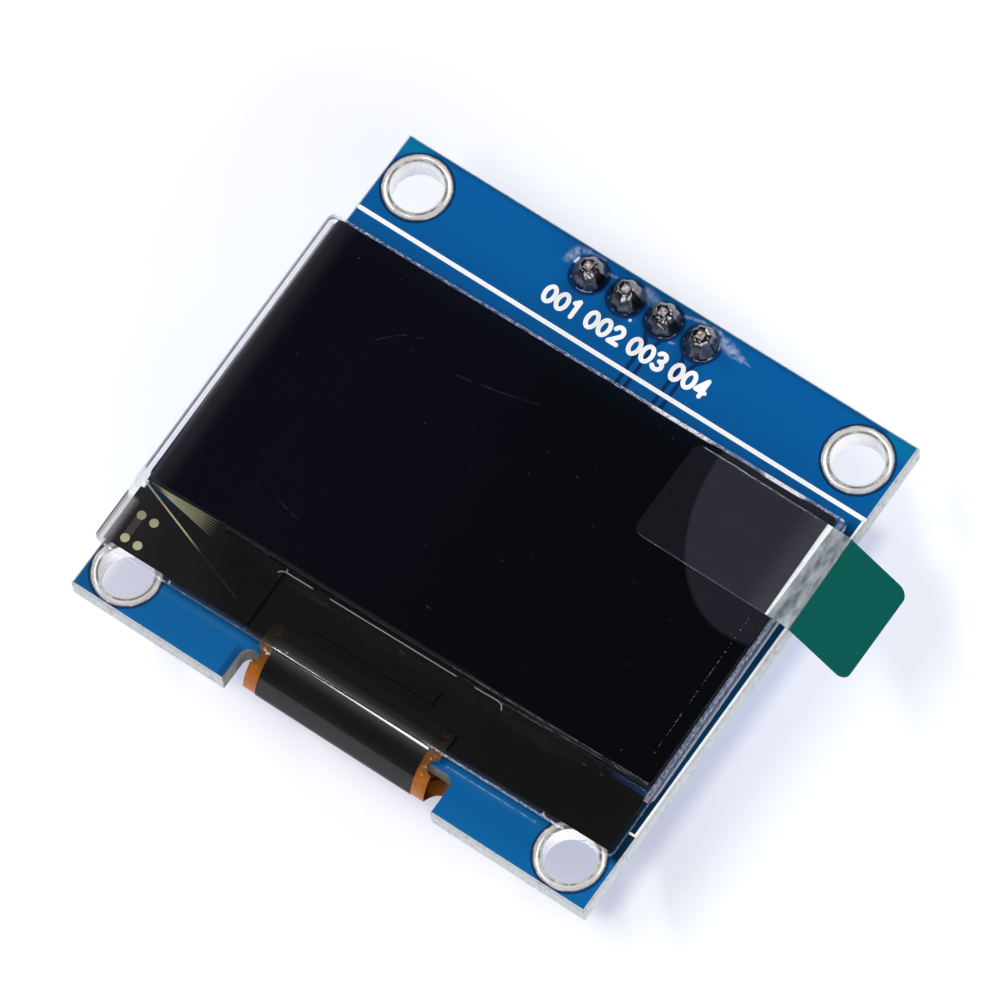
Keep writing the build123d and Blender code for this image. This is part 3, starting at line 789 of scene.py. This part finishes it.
def tab_finish(settings):
    """Pull tab: clear where it is stuck on, green at the grip, with a painted glare where it bends over the
    screen's edge.
    """
    made = Finish("pull_tab")
    right, up = made.panel_place()
    ripple = made.grain(0.7, 3.0)
    over_edge = right.above(SCREEN.right - 0.1, 0.05)
    # Painted glare where the tab bends over the screen's edge, widening upwards.
    widening = (up - 3.3) * 0.03
    glare = right.above(SCREEN.right - 0.25, 0.03) * (right - widening).below(SCREEN.right - 0.13, 0.05)
    glare = glare * (0.55 + made.grain(0.3, 3.0, 0.6) * 0.8).least(1.0)
    mottle = made.grain(0.5, 3.0, 0.55, (1, 0.4, 1))
    near_edge = right.above(SCREEN.right - 1.25, 0.9)
    clear_haze = 0.007 + made.bubble(right, up) * 0.012 + ripple * 0.004 + near_edge * 0.03
    clear_haze = clear_haze + over_edge * (0.4 + mottle * 0.35) + glare * 0.8
    edge = made.upright(0.3) * right.below(GLASS.right - 0.1, 0.1)
    grip = right.above(GLASS.right + 0.86, 0.03)
    haze = (clear_haze + edge * 0.5).least(0.96).most(grip * 0.99)
    veil = made.mix(mottle.above(0.5, 0.2), srgb(116, 128, 134), srgb(196, 203, 208))
    tone = made.mix(over_edge, srgb(196, 194, 224), veil)
    tone = made.mix(glare, tone, srgb(250, 250, 252))
    return made.clear(made.mix(grip, tone, settings.grip_colour), haze, 0.05, FILM_IOR)


def ribbon_finish(settings):
    """Amber polyimide with creased margins, painted shade in the creases and painted glints on their ridges,
    its copper lines faint under the skin.
    """
    made = Finish("amber_polyimide")
    x, y, z = made.x, made.y, made.z
    crease = made.grain(0.3, 4.0, 0.65)
    paint = made.colour(settings.ribbon_colour)
    # Painted shade in the crease hollows.
    paint.lay(crease.below(0.46, 0.12) * 0.6, srgb(126, 66, 6))
    on_bow = z.above(0.25, 0.1)
    paint.lay(z.below(0.5, 0.6) * y.below(BOW_Y + 0.44, 0.35) * 0.6, srgb(190, 120, 84))
    # Darker brown towards the glass, with painted glints on the crease ridges.
    darkened = y.above(BOW_Y + 0.94, 0.5) * on_bow
    paint.lay(darkened * (0.4 + crease * 0.7), srgb(74, 48, 12))
    paint.lay(crease.above(0.62, 0.04) * darkened * 0.8, srgb(226, 214, 190))
    under_glass = y.above(BOW_Y + 2.19, 0.2) * on_bow
    paint.lay(under_glass * 0.96, made.mix(crease, srgb(6, 5, 3), srgb(30, 20, 8)))
    tail = z.below(0.3, 0.05) * y.above(BOW_Y + 0.24, 0.1)
    traces = made.stroke((4.9, -13.98), (5.45, -13.5), 0.2, 0.05)
    traces = traces.most(made.stroke((5.3, -14.33), (6.15, -13.5), 0.2, 0.05))
    paint.lay(tail * traces * 0.9, srgb(66, 28, 6))
    line_pitch = 0.7
    lines = made.maths("SINE", x * (2 * math.pi / line_pitch)).above(0.2, 0.5)
    paint.lay(lines * y.above(BOW_Y + 2.24, 0.3) * tail * 0.35, srgb(150, 84, 20))
    bump = made.bump(crease, 0.06)
    return made.surface(paint.colour, 0.28 + crease * 0.2, bump=bump, Specular_IOR_Level=0.2)


def coverlay_finish():
    """Black satin cover layer of the ribbon, glossy where it bends towards the glass."""
    made = Finish("black_coverlay")
    run = made.grain(0.9, 3.0, 0.5, (0.25, 1, 1))
    tone = made.mix(run, srgb(5, 5, 7), srgb(11, 11, 14))
    near_glass = made.y.above(BOW_Y + 0.54, 0.8)
    gloss = {"Specular_IOR_Level": 0.25, "Coat_Weight": near_glass * 0.85, "Coat_Roughness": 0.05}
    return made.surface(tone, 0.34 + run * 0.06, bump=made.bump(run, 0.003), **gloss)


def tape_finish():
    """Black tape behind the ledge, paler and browner towards the left end."""
    made = Finish("ledge_tape")
    right, up = made.panel_place()
    paint = made.colour(made.mix(made.grain(2.2, 3.0), srgb(38, 34, 38), srgb(31, 28, 31)))
    paint.lay(right.below(GLASS.left + 2.7, 1.8) * 0.5, srgb(60, 54, 60))
    paint.lay((right + up * 0.5).above(-15.3, 1.7), srgb(9, 9, 10))
    paint.lay(right.within(CHIP_TAPE.left - 0.06, CHIP_TAPE.right - 0.02, 0.05) * 0.6, srgb(13, 13, 14))
    return made.surface(paint.colour, 0.5, Specular_IOR_Level=0.15)


def trace_finish():
    """Thin pale metal on glass, whose long runs fade to the right."""
    made = Finish("trace_metal")
    right, up = made.panel_place()
    over_fan = up + (right - FAN_TIP[0][0]) * 0.24
    fan_fade = right.above(FAN_END[0][0] - 0.9, 0.9) * over_fan.above(-9.35, 0.1)
    long_fade = right.above(-9.9, 1.1)
    pale = made.mix(made.grain(0.4), (0.98, 0.95, 0.62), (0.86, 0.84, 0.54))
    paint = made.colour(pale)
    paint.lay(right.below(-15.3, 1.0) * up.above(-10.0, 0.3) * 0.4, srgb(140, 138, 112))
    paint.lay(fan_fade.most(long_fade) * 0.97, srgb(14, 14, 14))
    return made.surface(paint.colour, 0.5, Specular_IOR_Level=0.15)


def chip_part_finish(name, body, *row_nodes):
    """Chip parts with tinned ends, which lie in rows: one node stands for each row."""
    made = Finish(name)
    skin = made.grain(0.12, 3.0)
    middle = 0.0
    for low, high in map(node_box, row_nodes):
        middle = made.y.within(low.y + TINNED_END, high.y - TINNED_END, 0.01).most(middle)
    tone = made.mix(middle, made.mix(skin, (0.80, 0.80, 0.81), (0.62, 0.62, 0.64)), body)
    tone = made.mix(skin * 0.3, tone, (0.12, 0.11, 0.10))
    rough = 0.25 + middle * 0.2 + skin * 0.1
    return made.surface(tone, rough, 0.9 - middle * 0.9, bump=made.bump(skin, 0.01))


# Operators.

class MODULE_OT_board(bpy.types.Operator):
    """Dresses the circuit board, its plated holes and pads"""

    bl_idname = "module.board"
    bl_label = "Board"

    def execute(self, context):
        settings = context.scene.module_board
        dress(["circuit_board"], mask_finish(settings))
        dress(numbered("hole_plating", 4), ring_finish())
        dress(numbered("pin_pad", 4) + ["ribbon_pads", "part_pads"], tin_finish("pad_tin"))
        return {"FINISHED"}


class MODULE_OT_print(bpy.types.Operator):
    """Prints the white lines and the numbers beside the pins"""

    bl_idname = "module.print"
    bl_label = "Print"

    def execute(self, context):
        settings = context.scene.module_board
        ink = ink_finish()
        low, high = BOARD_FRONT, BOARD_FRONT + settings.print_height
        upper, lower, broad, fine = 11.24, -11.08, 0.27, 0.13
        left, right = BOARD_LOW.x + 0.2, BOARD_HIGH.x - 0.15
        work = bmesh.new()
        line_of_print(work, ((left, upper), (right, upper)), broad, low, high)
        line_of_print(work, ((right, upper - 0.04), (right, lower)), fine, low, high)
        line_of_print(work, ((right - 0.05, lower), (right - 0.32, lower)), fine, low, high)
        flat_piece("print_lines", work, ink)
        foot, number_centres = 12.2, (-4.15, -1.28, 1.63, 4.49)
        for number, centre in enumerate(number_centres, 1):
            work = bmesh.new()
            for column, digit in enumerate(f"{number:03d}"):
                corner = (centre + (column - 1.5) * settings.digit_advance + 0.06, foot)
                self.digit(work, digit, corner, settings, low, high)
            flat_piece(f"number_{number}", work, ink)
        return {"FINISHED"}

    def digit(self, work, digit, corner, settings, low, high):
        """One digit drawn with round-ended strokes in a cell that is 1 by 1."""
        strokes = {
            "0": [arc((0.5, 0.5), (0.42, 0.42))[:-1]],
            "1": [[(0.55, 0.06), (0.55, 0.94)], [(0.25, 0.76), (0.55, 0.94)]],
            "2": [arc((0.5, 0.66), (0.38, 0.28), 160, -25) + [(0.12, 0.06)], [(0.12, 0.06), (0.9, 0.06)]],
            "3": [arc((0.46, 0.72), (0.36, 0.22), 150, -90), arc((0.46, 0.28), (0.4, 0.22), 90, -150)],
            "4": [[(0.68, 0.06), (0.68, 0.94)], [(0.68, 0.94), (0.1, 0.32)], [(0.1, 0.32), (0.92, 0.32)]],
        }[digit]
        gap, step = 0.14, 0.002
        width, height = settings.digit_advance - gap, settings.digit_height
        for layer, stroke in enumerate(strokes):
            points = [(corner[0] + x * width, corner[1] + y * height) for x, y in stroke]
            top = high + step * layer
            line_of_print(work, points, settings.stroke_width, low, top, closed=digit == "0")


class MODULE_OT_solder(bpy.types.Operator):
    """Flows the lumpy solder joints round the pins"""

    bl_idname = "module.solder"
    bl_label = "Solder"

    def execute(self, context):
        skin = dome_finish()
        for number, centre in zip(PINS, PIN_CENTRES):
            made = piece(f"solder_dome_{number}", self.dome(number, centre), skin)
            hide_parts(f"solder_joint_{number}")
        dress(numbered("header_pin", 4), pin_finish())
        dress(["header_base"], plastic_finish("header_plastic", srgb(22, 22, 24)))
        dress(["ribbon_solder", "part_solder", "regulator_leads"], tin_finish("solder_tin", 0.18, 0.04))
        return {"FINISHED"}

    def dome(self, number, centre, rings=40, spokes=96):
        """One joint: a rounded cone that climbs the pin, with facets, lumps and its own mark."""
        base_radius = PAD_RADIUS + 0.02
        foot = BOARD_FRONT + 0.045
        work = bmesh.new()
        top = work.verts.new((centre.x, centre.y, foot + CROWN))
        rows = []
        for ring in range(1, rings + 1):
            share = ring / rings
            row = []
            for spoke in range(spokes):
                turn = 2 * math.pi * spoke / spokes
                across, along = math.cos(turn), math.sin(turn)
                x, y = across * share, along * share
                uneven = 1 + 0.03 * noise.noise(Vector((across * 1.5, along * 1.5, number * 9.1)))
                rise = self.rise(number, x, y, share, turn) if ring < rings else 0.0
                reach = base_radius * uneven
                row.append(work.verts.new((centre.x + x * reach, centre.y + y * reach, foot + rise)))
            rows.append(row)
        for spoke in range(spokes):
            after = (spoke + 1) % spokes
            work.faces.new((top, rows[0][spoke], rows[0][after]))
            for inner, outer in zip(rows, rows[1:]):
                work.faces.new((inner[spoke], outer[spoke], outer[after], inner[after]))
        work.faces.new(list(reversed(rows[-1])))
        return mesh_from(work, f"solder_dome_{number}", smooth=True)

    def rise(self, number, x, y, share, turn):
        """How high the solder stands over the board at a place given in shares of its radius."""
        height, collar, lip = 1.31, 0.34, 0.03
        tip = 0.2 + 0.03 * noise.noise(Vector((x * 6, y * 6, number * 2.3)))
        inside = min(max((max(abs(x), abs(y)) - tip) / 0.03, 0.0), 1.0)
        facet = share * (1 + 0.035 * math.cos(8 * turn + number))
        fall = min(max((facet - collar) / (1 - collar), 0.0), 1.0)
        dome = (height + lip) * (1 - fall ** 1.7) ** 0.85
        lump = noise.noise(Vector((x * 2.2, y * 2.2, number * 3.7)))
        calm = min(1.0, 5 * (1 - share)) * min(1.0, 9 * fall)
        dome += (lump * 0.09 + self.mark(number, x, y)) * calm
        return max(dome, 0.0) * inside + CROWN * (1 - inside)

    def mark(self, number, x, y):
        """The height of the swirl, crescent, pit or flats that each joint froze with."""
        if number == 1:
            far, turn = math.hypot(x - 0.3, y + 0.34), math.atan2(y + 0.34, x - 0.3)
            return 0.028 * math.sin(2 * math.pi * far / 0.17 - turn) * max(0.0, 1 - far / 0.5)
        if number == 2:
            far, turn = math.hypot(x - 0.56, y), math.atan2(y, x - 0.56)
            return 0.07 * math.exp(-((far - 0.15) / 0.045) ** 2) * (0.6 + 0.4 * math.cos(turn - 2.4))
        if number == 3:
            sides = (math.radians(turn) for turn in (-90, 30, 150))
            reach = max((x - 0.3) * math.cos(turn) + (y + 0.5) * math.sin(turn) for turn in sides)
            return -0.1 * max(0.0, min(1.0, (0.16 - reach) / 0.06))
        flats = ((-0.6, -0.5, 0.3), (0.55, -0.35, 0.4), (0.2, -0.9, 0.5))
        return -sum(0.6 * max(0.0, a * x + b * y - c) for a, b, c in flats)


class MODULE_OT_panel(bpy.types.Operator):
    """Dresses the glass panel and what lies in it"""

    bl_idname = "module.panel"
    bl_label = "Panel"

    def execute(self, context):
        settings = context.scene.module_panel
        glass = glass_finish()
        for node, bevel in (("front_glass", 0.05), ("cap_glass", 0.03)):
            made = piece(f"{node}_clear", shrunk_copy(node, 0.004, bevel), glass)
            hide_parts(node)
        dress(["polarizer"], screen_finish(settings))
        dress(["emitter_layer"], plastic_finish("emitter_film", srgb(28, 26, 36), 0.25))
        dress(["edge_seal"], plastic_finish("seal_resin", srgb(34, 34, 36), 0.4))
        dress(["mounting_tape"], plastic_finish("foam_tape", srgb(28, 28, 30), 0.7))
        tape = tape_finish()
        dress(["driver_chip", "chip_tape", "ledge_tape_left", "ledge_tape_right"], tape)
        return {"FINISHED"}


class MODULE_OT_marks(bpy.types.Operator):
    """Lays the thin metal marks on the back of the ledge"""

    bl_idname = "module.marks"
    bl_label = "Ledge marks"

    def execute(self, context):
        trace = trace_finish()
        gap, skin = 0.008, 0.008
        low, high = GLASS_BACK + gap, GLASS_BACK + gap + skin
        under = low - skin / 2
        self.dots(trace, low, high)
        self.bar(under, low)
        work = bmesh.new()
        line_of_print(work, ((-17.0, -9.25), (-10.2, -11.62), (-8.8, -12.08)), 0.1, low, high)
        flat_piece("ledge_long_line", work, trace)
        self.fan(trace, low, high)
        self.fan_ground(under, low)
        self.tape_outline(low, high)
        return {"FINISHED"}

    def dots(self, trace, low, high):
        """Four round test marks."""
        work = bmesh.new()
        radius = 0.27
        for centre in ((-16.07, -11.0), (-15.21, -11.0), (-16.05, -12.6), (-15.19, -12.6)):
            slab(work, arc(centre, (radius, radius), steps=32)[:-1], low, high)
        flat_piece("ledge_dots", work, trace)

    def bar(self, low, high):
        """The dull bar between the left dots."""
        left, right, bottom, top = -16.3, -15.83, -12.4, -11.2
        work = bmesh.new()
        slab(work, [(left, bottom), (right, bottom), (right, top), (left, top)], low, high)
        dark = plastic_finish("dull_metal", srgb(84, 80, 80), 0.5)
        flat_piece("ledge_bar", work, dark)

    def fan(self, trace, low, high):
        """Lines that spread from the screen's lower left corner."""
        lines, width = 7, 0.045
        work = bmesh.new()
        for index in range(lines):
            share = index / (lines - 1)
            start = Vector(FAN_TIP[0]).lerp(Vector(FAN_TIP[1]), share)
            end = Vector(FAN_END[0]).lerp(Vector(FAN_END[1]), share)
            line_of_print(work, (start, end), width, low, high)
        flat_piece("ledge_fan", work, trace)

    def fan_ground(self, low, high):
        """The dim film that the fan's lines lie on."""
        rim = 0.02
        (left, upper), (inner, lower) = FAN_TIP
        (right, far_upper), (_, far_lower) = FAN_END
        corners = [
            (left - 0.05, upper - rim), (inner, lower - rim),
            (right, far_lower - rim), (right, far_upper + rim),
        ]
        work = bmesh.new()
        slab(work, corners, low, high)
        made = Finish("fan_veil")
        glow = made.panel_place()[0].within(-14.6, -12.7, 0.9)
        tone = made.mix(glow * 0.8, srgb(20, 19, 19), srgb(78, 74, 46))
        dim = made.surface(tone, 0.5, Specular_IOR_Level=0.15)
        flat_piece("ledge_fan_ground", work, dim)

    def tape_outline(self, low, high):
        """Painted highlight along the upper edge of the chip's tape."""
        work = bmesh.new()
        for points in (
            ((-7.75, -9.52), (-7.62, -9.38), (-7.42, -9.31), (-5.6, -9.27)), ((-7.36, -9.28), (-7.4, -9.12)),
            ((-4.4, -9.24), (4.0, -9.09)), ((5.25, -9.06), (6.8, -9.0), (7.05, -9.1), (7.22, -9.35)),
        ):
            line_of_print(work, points, 0.06, low, high)
        # The pale lines are a painted highlight on the tape's raised edge.
        edge_highlight = plastic_finish("glue_line", srgb(226, 230, 230), 0.4)
        flat_piece("tape_outline", work, edge_highlight)


class MODULE_OT_film(bpy.types.Operator):
    """Lays the clear film and its pull tab"""

    bl_idname = "module.film"
    bl_label = "Film and tab"

    def execute(self, context):
        settings = context.scene.module_panel
        film = piece("clear_film", shrunk_copy("protective_film", 0.004), film_finish())
        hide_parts("protective_film")
        tab = piece("pull_tab_label", shrunk_copy("pull_tab", 0.004), tab_finish(settings))
        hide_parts("pull_tab")
        return {"FINISHED"}


class MODULE_OT_ribbon(bpy.types.Operator):
    """Dresses the folded ribbon"""

    bl_idname = "module.ribbon"
    bl_label = "Ribbon"

    def execute(self, context):
        dress(["flex_ribbon"], ribbon_finish(context.scene.module_panel))
        dress(["ribbon_coverlay"], coverlay_finish())
        return {"FINISHED"}


class MODULE_OT_back(bpy.types.Operator):
    """Dresses the parts on the back of the board"""

    bl_idname = "module.back"
    bl_label = "Back"

    def execute(self, context):
        capacitor = chip_part_finish("capacitor_body", srgb(146, 116, 84), "capacitor_1")
        resistor = chip_part_finish("resistor_body", srgb(24, 24, 27), "resistor_1", "resistor_6")
        dress(numbered("capacitor", 7), capacitor)
        dress(numbered("resistor", 6), resistor)
        dress(["regulator"], plastic_finish("regulator_body", srgb(24, 24, 26), 0.5))
        return {"FINISHED"}


def speck_tree(name, numbers, vectors=()):
    """A geometry tree with named inputs, and its inputs as terms."""
    tree = bpy.data.node_groups.new(name, "GeometryNodeTree")
    kinds = [("Geometry", "Geometry")]
    kinds += [(number, "Float") for number in numbers]
    kinds += [(vector, "Vector") for vector in vectors]
    kinds += [("Seed", "Int"), ("Finish", "Material")]
    for title, kind in kinds:
        tree.interface.new_socket(title, in_out="INPUT", socket_type=f"NodeSocket{kind}")
    tree.interface.new_socket("Geometry", in_out="OUTPUT", socket_type="NodeSocketGeometry")
    graph = Graph(tree)
    entry = graph.node("NodeGroupInput").socket.node
    return graph, {socket.name: Term(graph, socket) for socket in entry.outputs}


def specks_on(graph, points, given):
    """Ends a geometry tree in one coated speck of random size on each point."""
    speck = graph.node("GeometryNodeMeshIcoSphere", inputs={"Radius": 1.0, "Subdivisions": 1})
    size = graph.node(
        "FunctionNodeRandomValue", {"data_type": "FLOAT"},
        {2: given["Smallest"], 3: given["Largest"], "Seed": given["Seed"]}, output=1,
    )
    strewn = graph.node(
        "GeometryNodeInstanceOnPoints", inputs={"Points": points, "Instance": speck, "Scale": size}
    )
    whole = graph.node("GeometryNodeRealizeInstances", inputs={0: strewn})
    coated = graph.node("GeometryNodeSetMaterial", inputs={"Geometry": whole, "Material": given["Finish"]})
    graph.node("NodeGroupOutput", inputs={0: coated})
    return graph.tree


def scatter_tree():
    """Grows specks of uneven size on the faces of a patch."""
    graph, given = speck_tree("scatter_specks", ("Density", "Smallest", "Largest"))
    points = graph.node(
        "GeometryNodeDistributePointsOnFaces", {"distribute_method": "RANDOM"},
        {"Mesh": given["Geometry"], "Density": given["Density"], "Seed": given["Seed"]},
    )
    return specks_on(graph, points, given)


def string_tree():
    """Strings specks along a path, some left out and all a little off the line."""
    graph, given = speck_tree("string_specks", ("Spacing", "Smallest", "Largest", "Keep"), ("Spread",))
    path = graph.node("GeometryNodeMeshToCurve", inputs={"Mesh": given["Geometry"]})
    points = graph.node(
        "GeometryNodeCurveToPoints", {"mode": "LENGTH"}, {"Curve": path, "Length": given["Spacing"]}
    )
    dropped = graph.node(
        "FunctionNodeRandomValue", {"data_type": "BOOLEAN"},
        {"Probability": 1 - given["Keep"], "Seed": given["Seed"]}, output=3,
    )
    kept = graph.node(
        "GeometryNodeDeleteGeometry", {"domain": "POINT"}, {"Geometry": points, "Selection": dropped}
    )
    back = graph.node("ShaderNodeVectorMath", {"operation": "SCALE"}, {0: given["Spread"], "Scale": -1.0})
    shift = graph.node(
        "FunctionNodeRandomValue", {"data_type": "FLOAT_VECTOR"},
        {0: back, 1: given["Spread"], "Seed": given["Seed"] + 1}, output=0,
    )
    moved = graph.node("GeometryNodeSetPosition", inputs={"Geometry": kept, "Offset": shift})
    return specks_on(graph, moved, given)


def grown(name, work, tree, values):
    """The plain mesh that a geometry tree grows on a bmesh in millimetres."""
    source = mesh_from(work, name)
    holder = bpy.data.objects.new(name, source)
    bpy.context.scene.collection.objects.link(holder)
    modifier = holder.modifiers.new("grow", "NODES")
    modifier.node_group = tree
    for item in tree.interface.items_tree:
        if item.in_out == "INPUT" and item.name in values:
            modifier[item.identifier] = values[item.name]
    depsgraph = bpy.context.evaluated_depsgraph_get()
    mesh = bpy.data.meshes.new_from_object(holder.evaluated_get(depsgraph))
    holder.modifiers.remove(modifier)
    bpy.data.objects.remove(holder)
    return mesh


class MODULE_OT_dust(bpy.types.Operator):
    """Scatters dust on the film and strings dust and painted glints along its edges"""

    bl_idname = "module.dust"
    bl_label = "Dust"

    def execute(self, context):
        settings = context.scene.module_dust
        made = Finish("dust")
        grey = made.surface(made.mix(made.grain(0.5), srgb(120, 124, 130), srgb(60, 64, 72)), 0.8)
        # White specks: painted glints along the film's top and right edges, and pale specks along the
        # screen.
        made = Finish("glints")
        white = made.surface(made.mix(made.grain(0.5), (0.95, 0.95, 0.97), srgb(170, 180, 196)), 0.5)
        rim = 0.05
        left, right = SCREEN.left + rim, SCREEN.right - rim
        low, high = SCREEN.low + rim, SCREEN.high - 2 * rim
        patch = ((left, low), (right, low), (right, high), (left, high))
        work = bmesh.new()
        work.faces.new([work.verts.new(on_panel(x, y, FILM_FRONT)) for x, y in patch])
        mesh = grown("film_dust", work, scatter_tree(), {
            "Density": settings.density, "Smallest": settings.smallest * MM,
            "Largest": settings.largest * MM, "Seed": settings.seed, "Finish": grey,
        })
        piece("film_dust", mesh, grey)
        # Name, ends, spacing, smallest and largest radius, share kept, spread, finish.
        strings = (
            ("screen_dots", [(16.0, 3.9), (16.02, -5.4)], 0.19, (0.012, 0.026), 0.75, (0.01, 0.04), white),
            ("screen_dots_faint", [(15.98, 9.3), (16.0, 3.9)], 0.3, (0.01, 0.02), 0.5, (0.02, 0.1), grey),
            ("lower_row", [(4.0, -7.25), (16.7, -7.05)], 0.1, (0.01, 0.028), 0.75, (0.02, 0.02), white),
            ("second_row", [(7.0, -7.55), (16.7, -7.12)], 0.12, (0.01, 0.026), 0.7, (0.02, 0.03), white),
            ("lower_row_left", [(-13.0, -7.3), (4.0, -7.25)], 0.22, (0.01, 0.022), 0.6, (0.05, 0.03), grey),
            ("ledge_specks", [(-15.5, -7.6), (4.0, -7.7)], 0.5, (0.012, 0.03), 0.6, (0.2, 0.25), grey),
            ("film_clumps", [(7.6, -7.8), (14.8, -7.4)], 0.16, (0.012, 0.034), 0.7, (0.3, 0.32), grey),
            ("upper_glints", [(-16.6, 11.62), (17.0, 11.62)], 0.05, (0.012, 0.03), 0.45, (0.03, 0.02),
             white),
            ("upper_flash", [(12.2, 11.6), (14.3, 11.6)], 0.04, (0.02, 0.045), 0.9, (0.02, 0.02), white),
            ("right_glints", [(17.1, 11.0), (17.3, -8.0)], 0.06, (0.01, 0.026), 0.5, (0.03, 0.03), white),
        )
        string = string_tree()
        for name, ends, spacing, sizes, keep, spread, finish in strings:
            work = bmesh.new()
            work.edges.new([work.verts.new(on_panel(x, y, FILM_FRONT - 0.01)) for x, y in ends])
            mesh = grown(name, work, string, {
                "Spacing": spacing * MM, "Smallest": sizes[0] * MM, "Largest": sizes[1] * MM, "Keep": keep,
                "Spread": (spread[0] * MM, spread[1] * MM, 0.0), "Seed": settings.seed, "Finish": finish,
            })
            piece(name, mesh, finish)
        return {"FINISHED"}


class MODULE_OT_stage(bpy.types.Operator):
    """Sets the floor, the lights and the camera"""

    bl_idname = "module.stage"
    bl_label = "Stage"

    def execute(self, context):
        settings = context.scene.module_stage
        self.floor()
        self.lights(settings)
        self.camera(settings)
        return {"FINISHED"}

    def floor(self):
        """A pale floor that the pins' tips touch, with the board's shadow painted on it."""
        made = Finish("pale_floor")
        tone = made.mix(made.grain(40.0), (0.93, 0.93, 0.935), (0.91, 0.91, 0.92))
        # Painted shadow of the board on the floor under its footprint.
        across = made.x.within(BOARD_LOW.x - 1.95, BOARD_HIGH.x - 0.95, 0.7)
        under = across * made.y.within(BOARD_LOW.y + 2.81, BOARD_HIGH.y - 1.99, 0.7)
        tone = made.mix(under, tone, (0.60, 0.62, 0.72))
        # A deeper painted shadow below the left holes.
        hole_shadow = made.x.below(-13.0, 0.7) * made.y.below(-5.0, 0.7) * under
        tone = made.mix(hole_shadow * 0.7, tone, (0.40, 0.40, 0.46))
        # Less glow inside the painted shadow.
        glow = made.mix(under * 0.3, (0.82, 0.86, 1.0), (0.4, 0.4, 0.5))
        material = made.surface(tone, 0.8, Emission_Color=glow, Emission_Strength=0.28)
        level = CAD_BOX[0].z / MM - 0.01
        reach = 1500
        corners = ((-reach, -reach), (reach, -reach), (reach, reach), (-reach, reach))
        work = bmesh.new()
        work.faces.new([work.verts.new((x, y, level)) for x, y in corners])
        floor = bpy.data.objects.new("floor", mesh_from(work, "floor"))
        floor.data.materials.append(material)
        bpy.context.scene.collection.objects.link(floor)

    def lights(self, settings):
        """Soft boxes round the object, none in the panel's mirror direction."""
        # Name, place and size in metres, share of the key power.
        boxes = (
            ("front_strip", (-0.125, -0.125, 0.45), (0.30, 0.03), 0.6),
            ("left_box", (-0.55, -0.05, 0.30), (0.40, 0.35), 1.0),
            ("right_box", (0.55, -0.26, 0.30), (0.40, 0.35), 1.8),
            ("near_box", (0.26, -0.58, 0.22), (0.40, 0.30), 1.5),
            ("far_box", (0.15, 0.62, 0.28), (0.50, 0.30), 2.4),
        )
        for name, place, size, share in boxes:
            light = bpy.data.lights.new(name, "AREA")
            light.shape = "RECTANGLE"
            light.size, light.size_y = size
            light.energy = settings.key_power * share
            holder = bpy.data.objects.new(name, light)
            holder.location = place
            holder.rotation_euler = (-Vector(place)).to_track_quat("-Z", "Y").to_euler()
            bpy.context.scene.collection.objects.link(holder)
        world = bpy.data.worlds.new("room")
        world.use_nodes = True
        sky = world.node_tree.nodes["Background"]
        sky.inputs["Color"].default_value = (0.93, 0.95, 1.0, 1)
        sky.inputs["Strength"].default_value = settings.room_light
        bpy.context.scene.world = world
        bpy.context.scene.view_settings.view_transform = "Standard"

    def camera(self, settings):
        """The photograph's view."""
        data = bpy.data.cameras.new("camera")
        data.lens = settings.lens
        data.sensor_width = settings.sensor
        data.clip_start, data.clip_end = 0.01, 10
        holder = bpy.data.objects.new("camera", data)
        side, rise = math.radians(settings.azimuth), math.radians(settings.elevation)
        back = Vector((math.cos(rise) * math.cos(side), math.cos(rise) * math.sin(side), math.sin(rise)))
        level = Vector((-math.sin(side), math.cos(side), 0))
        right = Matrix.Rotation(math.radians(settings.roll), 3, back) @ level
        turn = Matrix((right, back.cross(right), back)).transposed().to_4x4()
        place = Vector(settings.aim) + back * settings.distance
        holder.matrix_world = Matrix.Translation(place * MM) @ turn
        bpy.context.scene.collection.objects.link(holder)
        bpy.context.scene.camera = holder


OPERATORS = (
    MODULE_OT_board, MODULE_OT_print, MODULE_OT_solder, MODULE_OT_panel, MODULE_OT_marks, MODULE_OT_film,
    MODULE_OT_ribbon, MODULE_OT_back, MODULE_OT_dust, MODULE_OT_stage,
)


class MODULE_PT_sidebar(bpy.types.Panel):
    """Lists the pieces of the module in the sidebar"""

    bl_label = "Display module"
    bl_idname = "MODULE_PT_sidebar"
    bl_space_type = "VIEW_3D"
    bl_region_type = "UI"
    bl_category = "Module"

    def draw(self, context):
        for made in OPERATORS:
            self.layout.operator(made.bl_idname)
        for group in GROUPS:
            settings = getattr(context.scene, group)
            for name in settings.__annotations__:
                self.layout.prop(settings, name)


GROUPS = {
    "module_board": BoardSettings,
    "module_panel": PanelSettings,
    "module_dust": DustSettings,
    "module_stage": StageSettings,
}
CLASSES = (*GROUPS.values(), *OPERATORS, MODULE_PT_sidebar)


def register():
    for made in CLASSES:
        bpy.utils.register_class(made)
    for name, made in GROUPS.items():
        setattr(bpy.types.Scene, name, PointerProperty(type=made))


def unregister():
    for name in GROUPS:
        delattr(bpy.types.Scene, name)
    for made in reversed(CLASSES):
        bpy.utils.unregister_class(made)


def main():
    register()
    for made in OPERATORS:
        group, name = made.bl_idname.split(".")
        getattr(getattr(bpy.ops, group), name)()


if __name__ == "__main__":
    main()
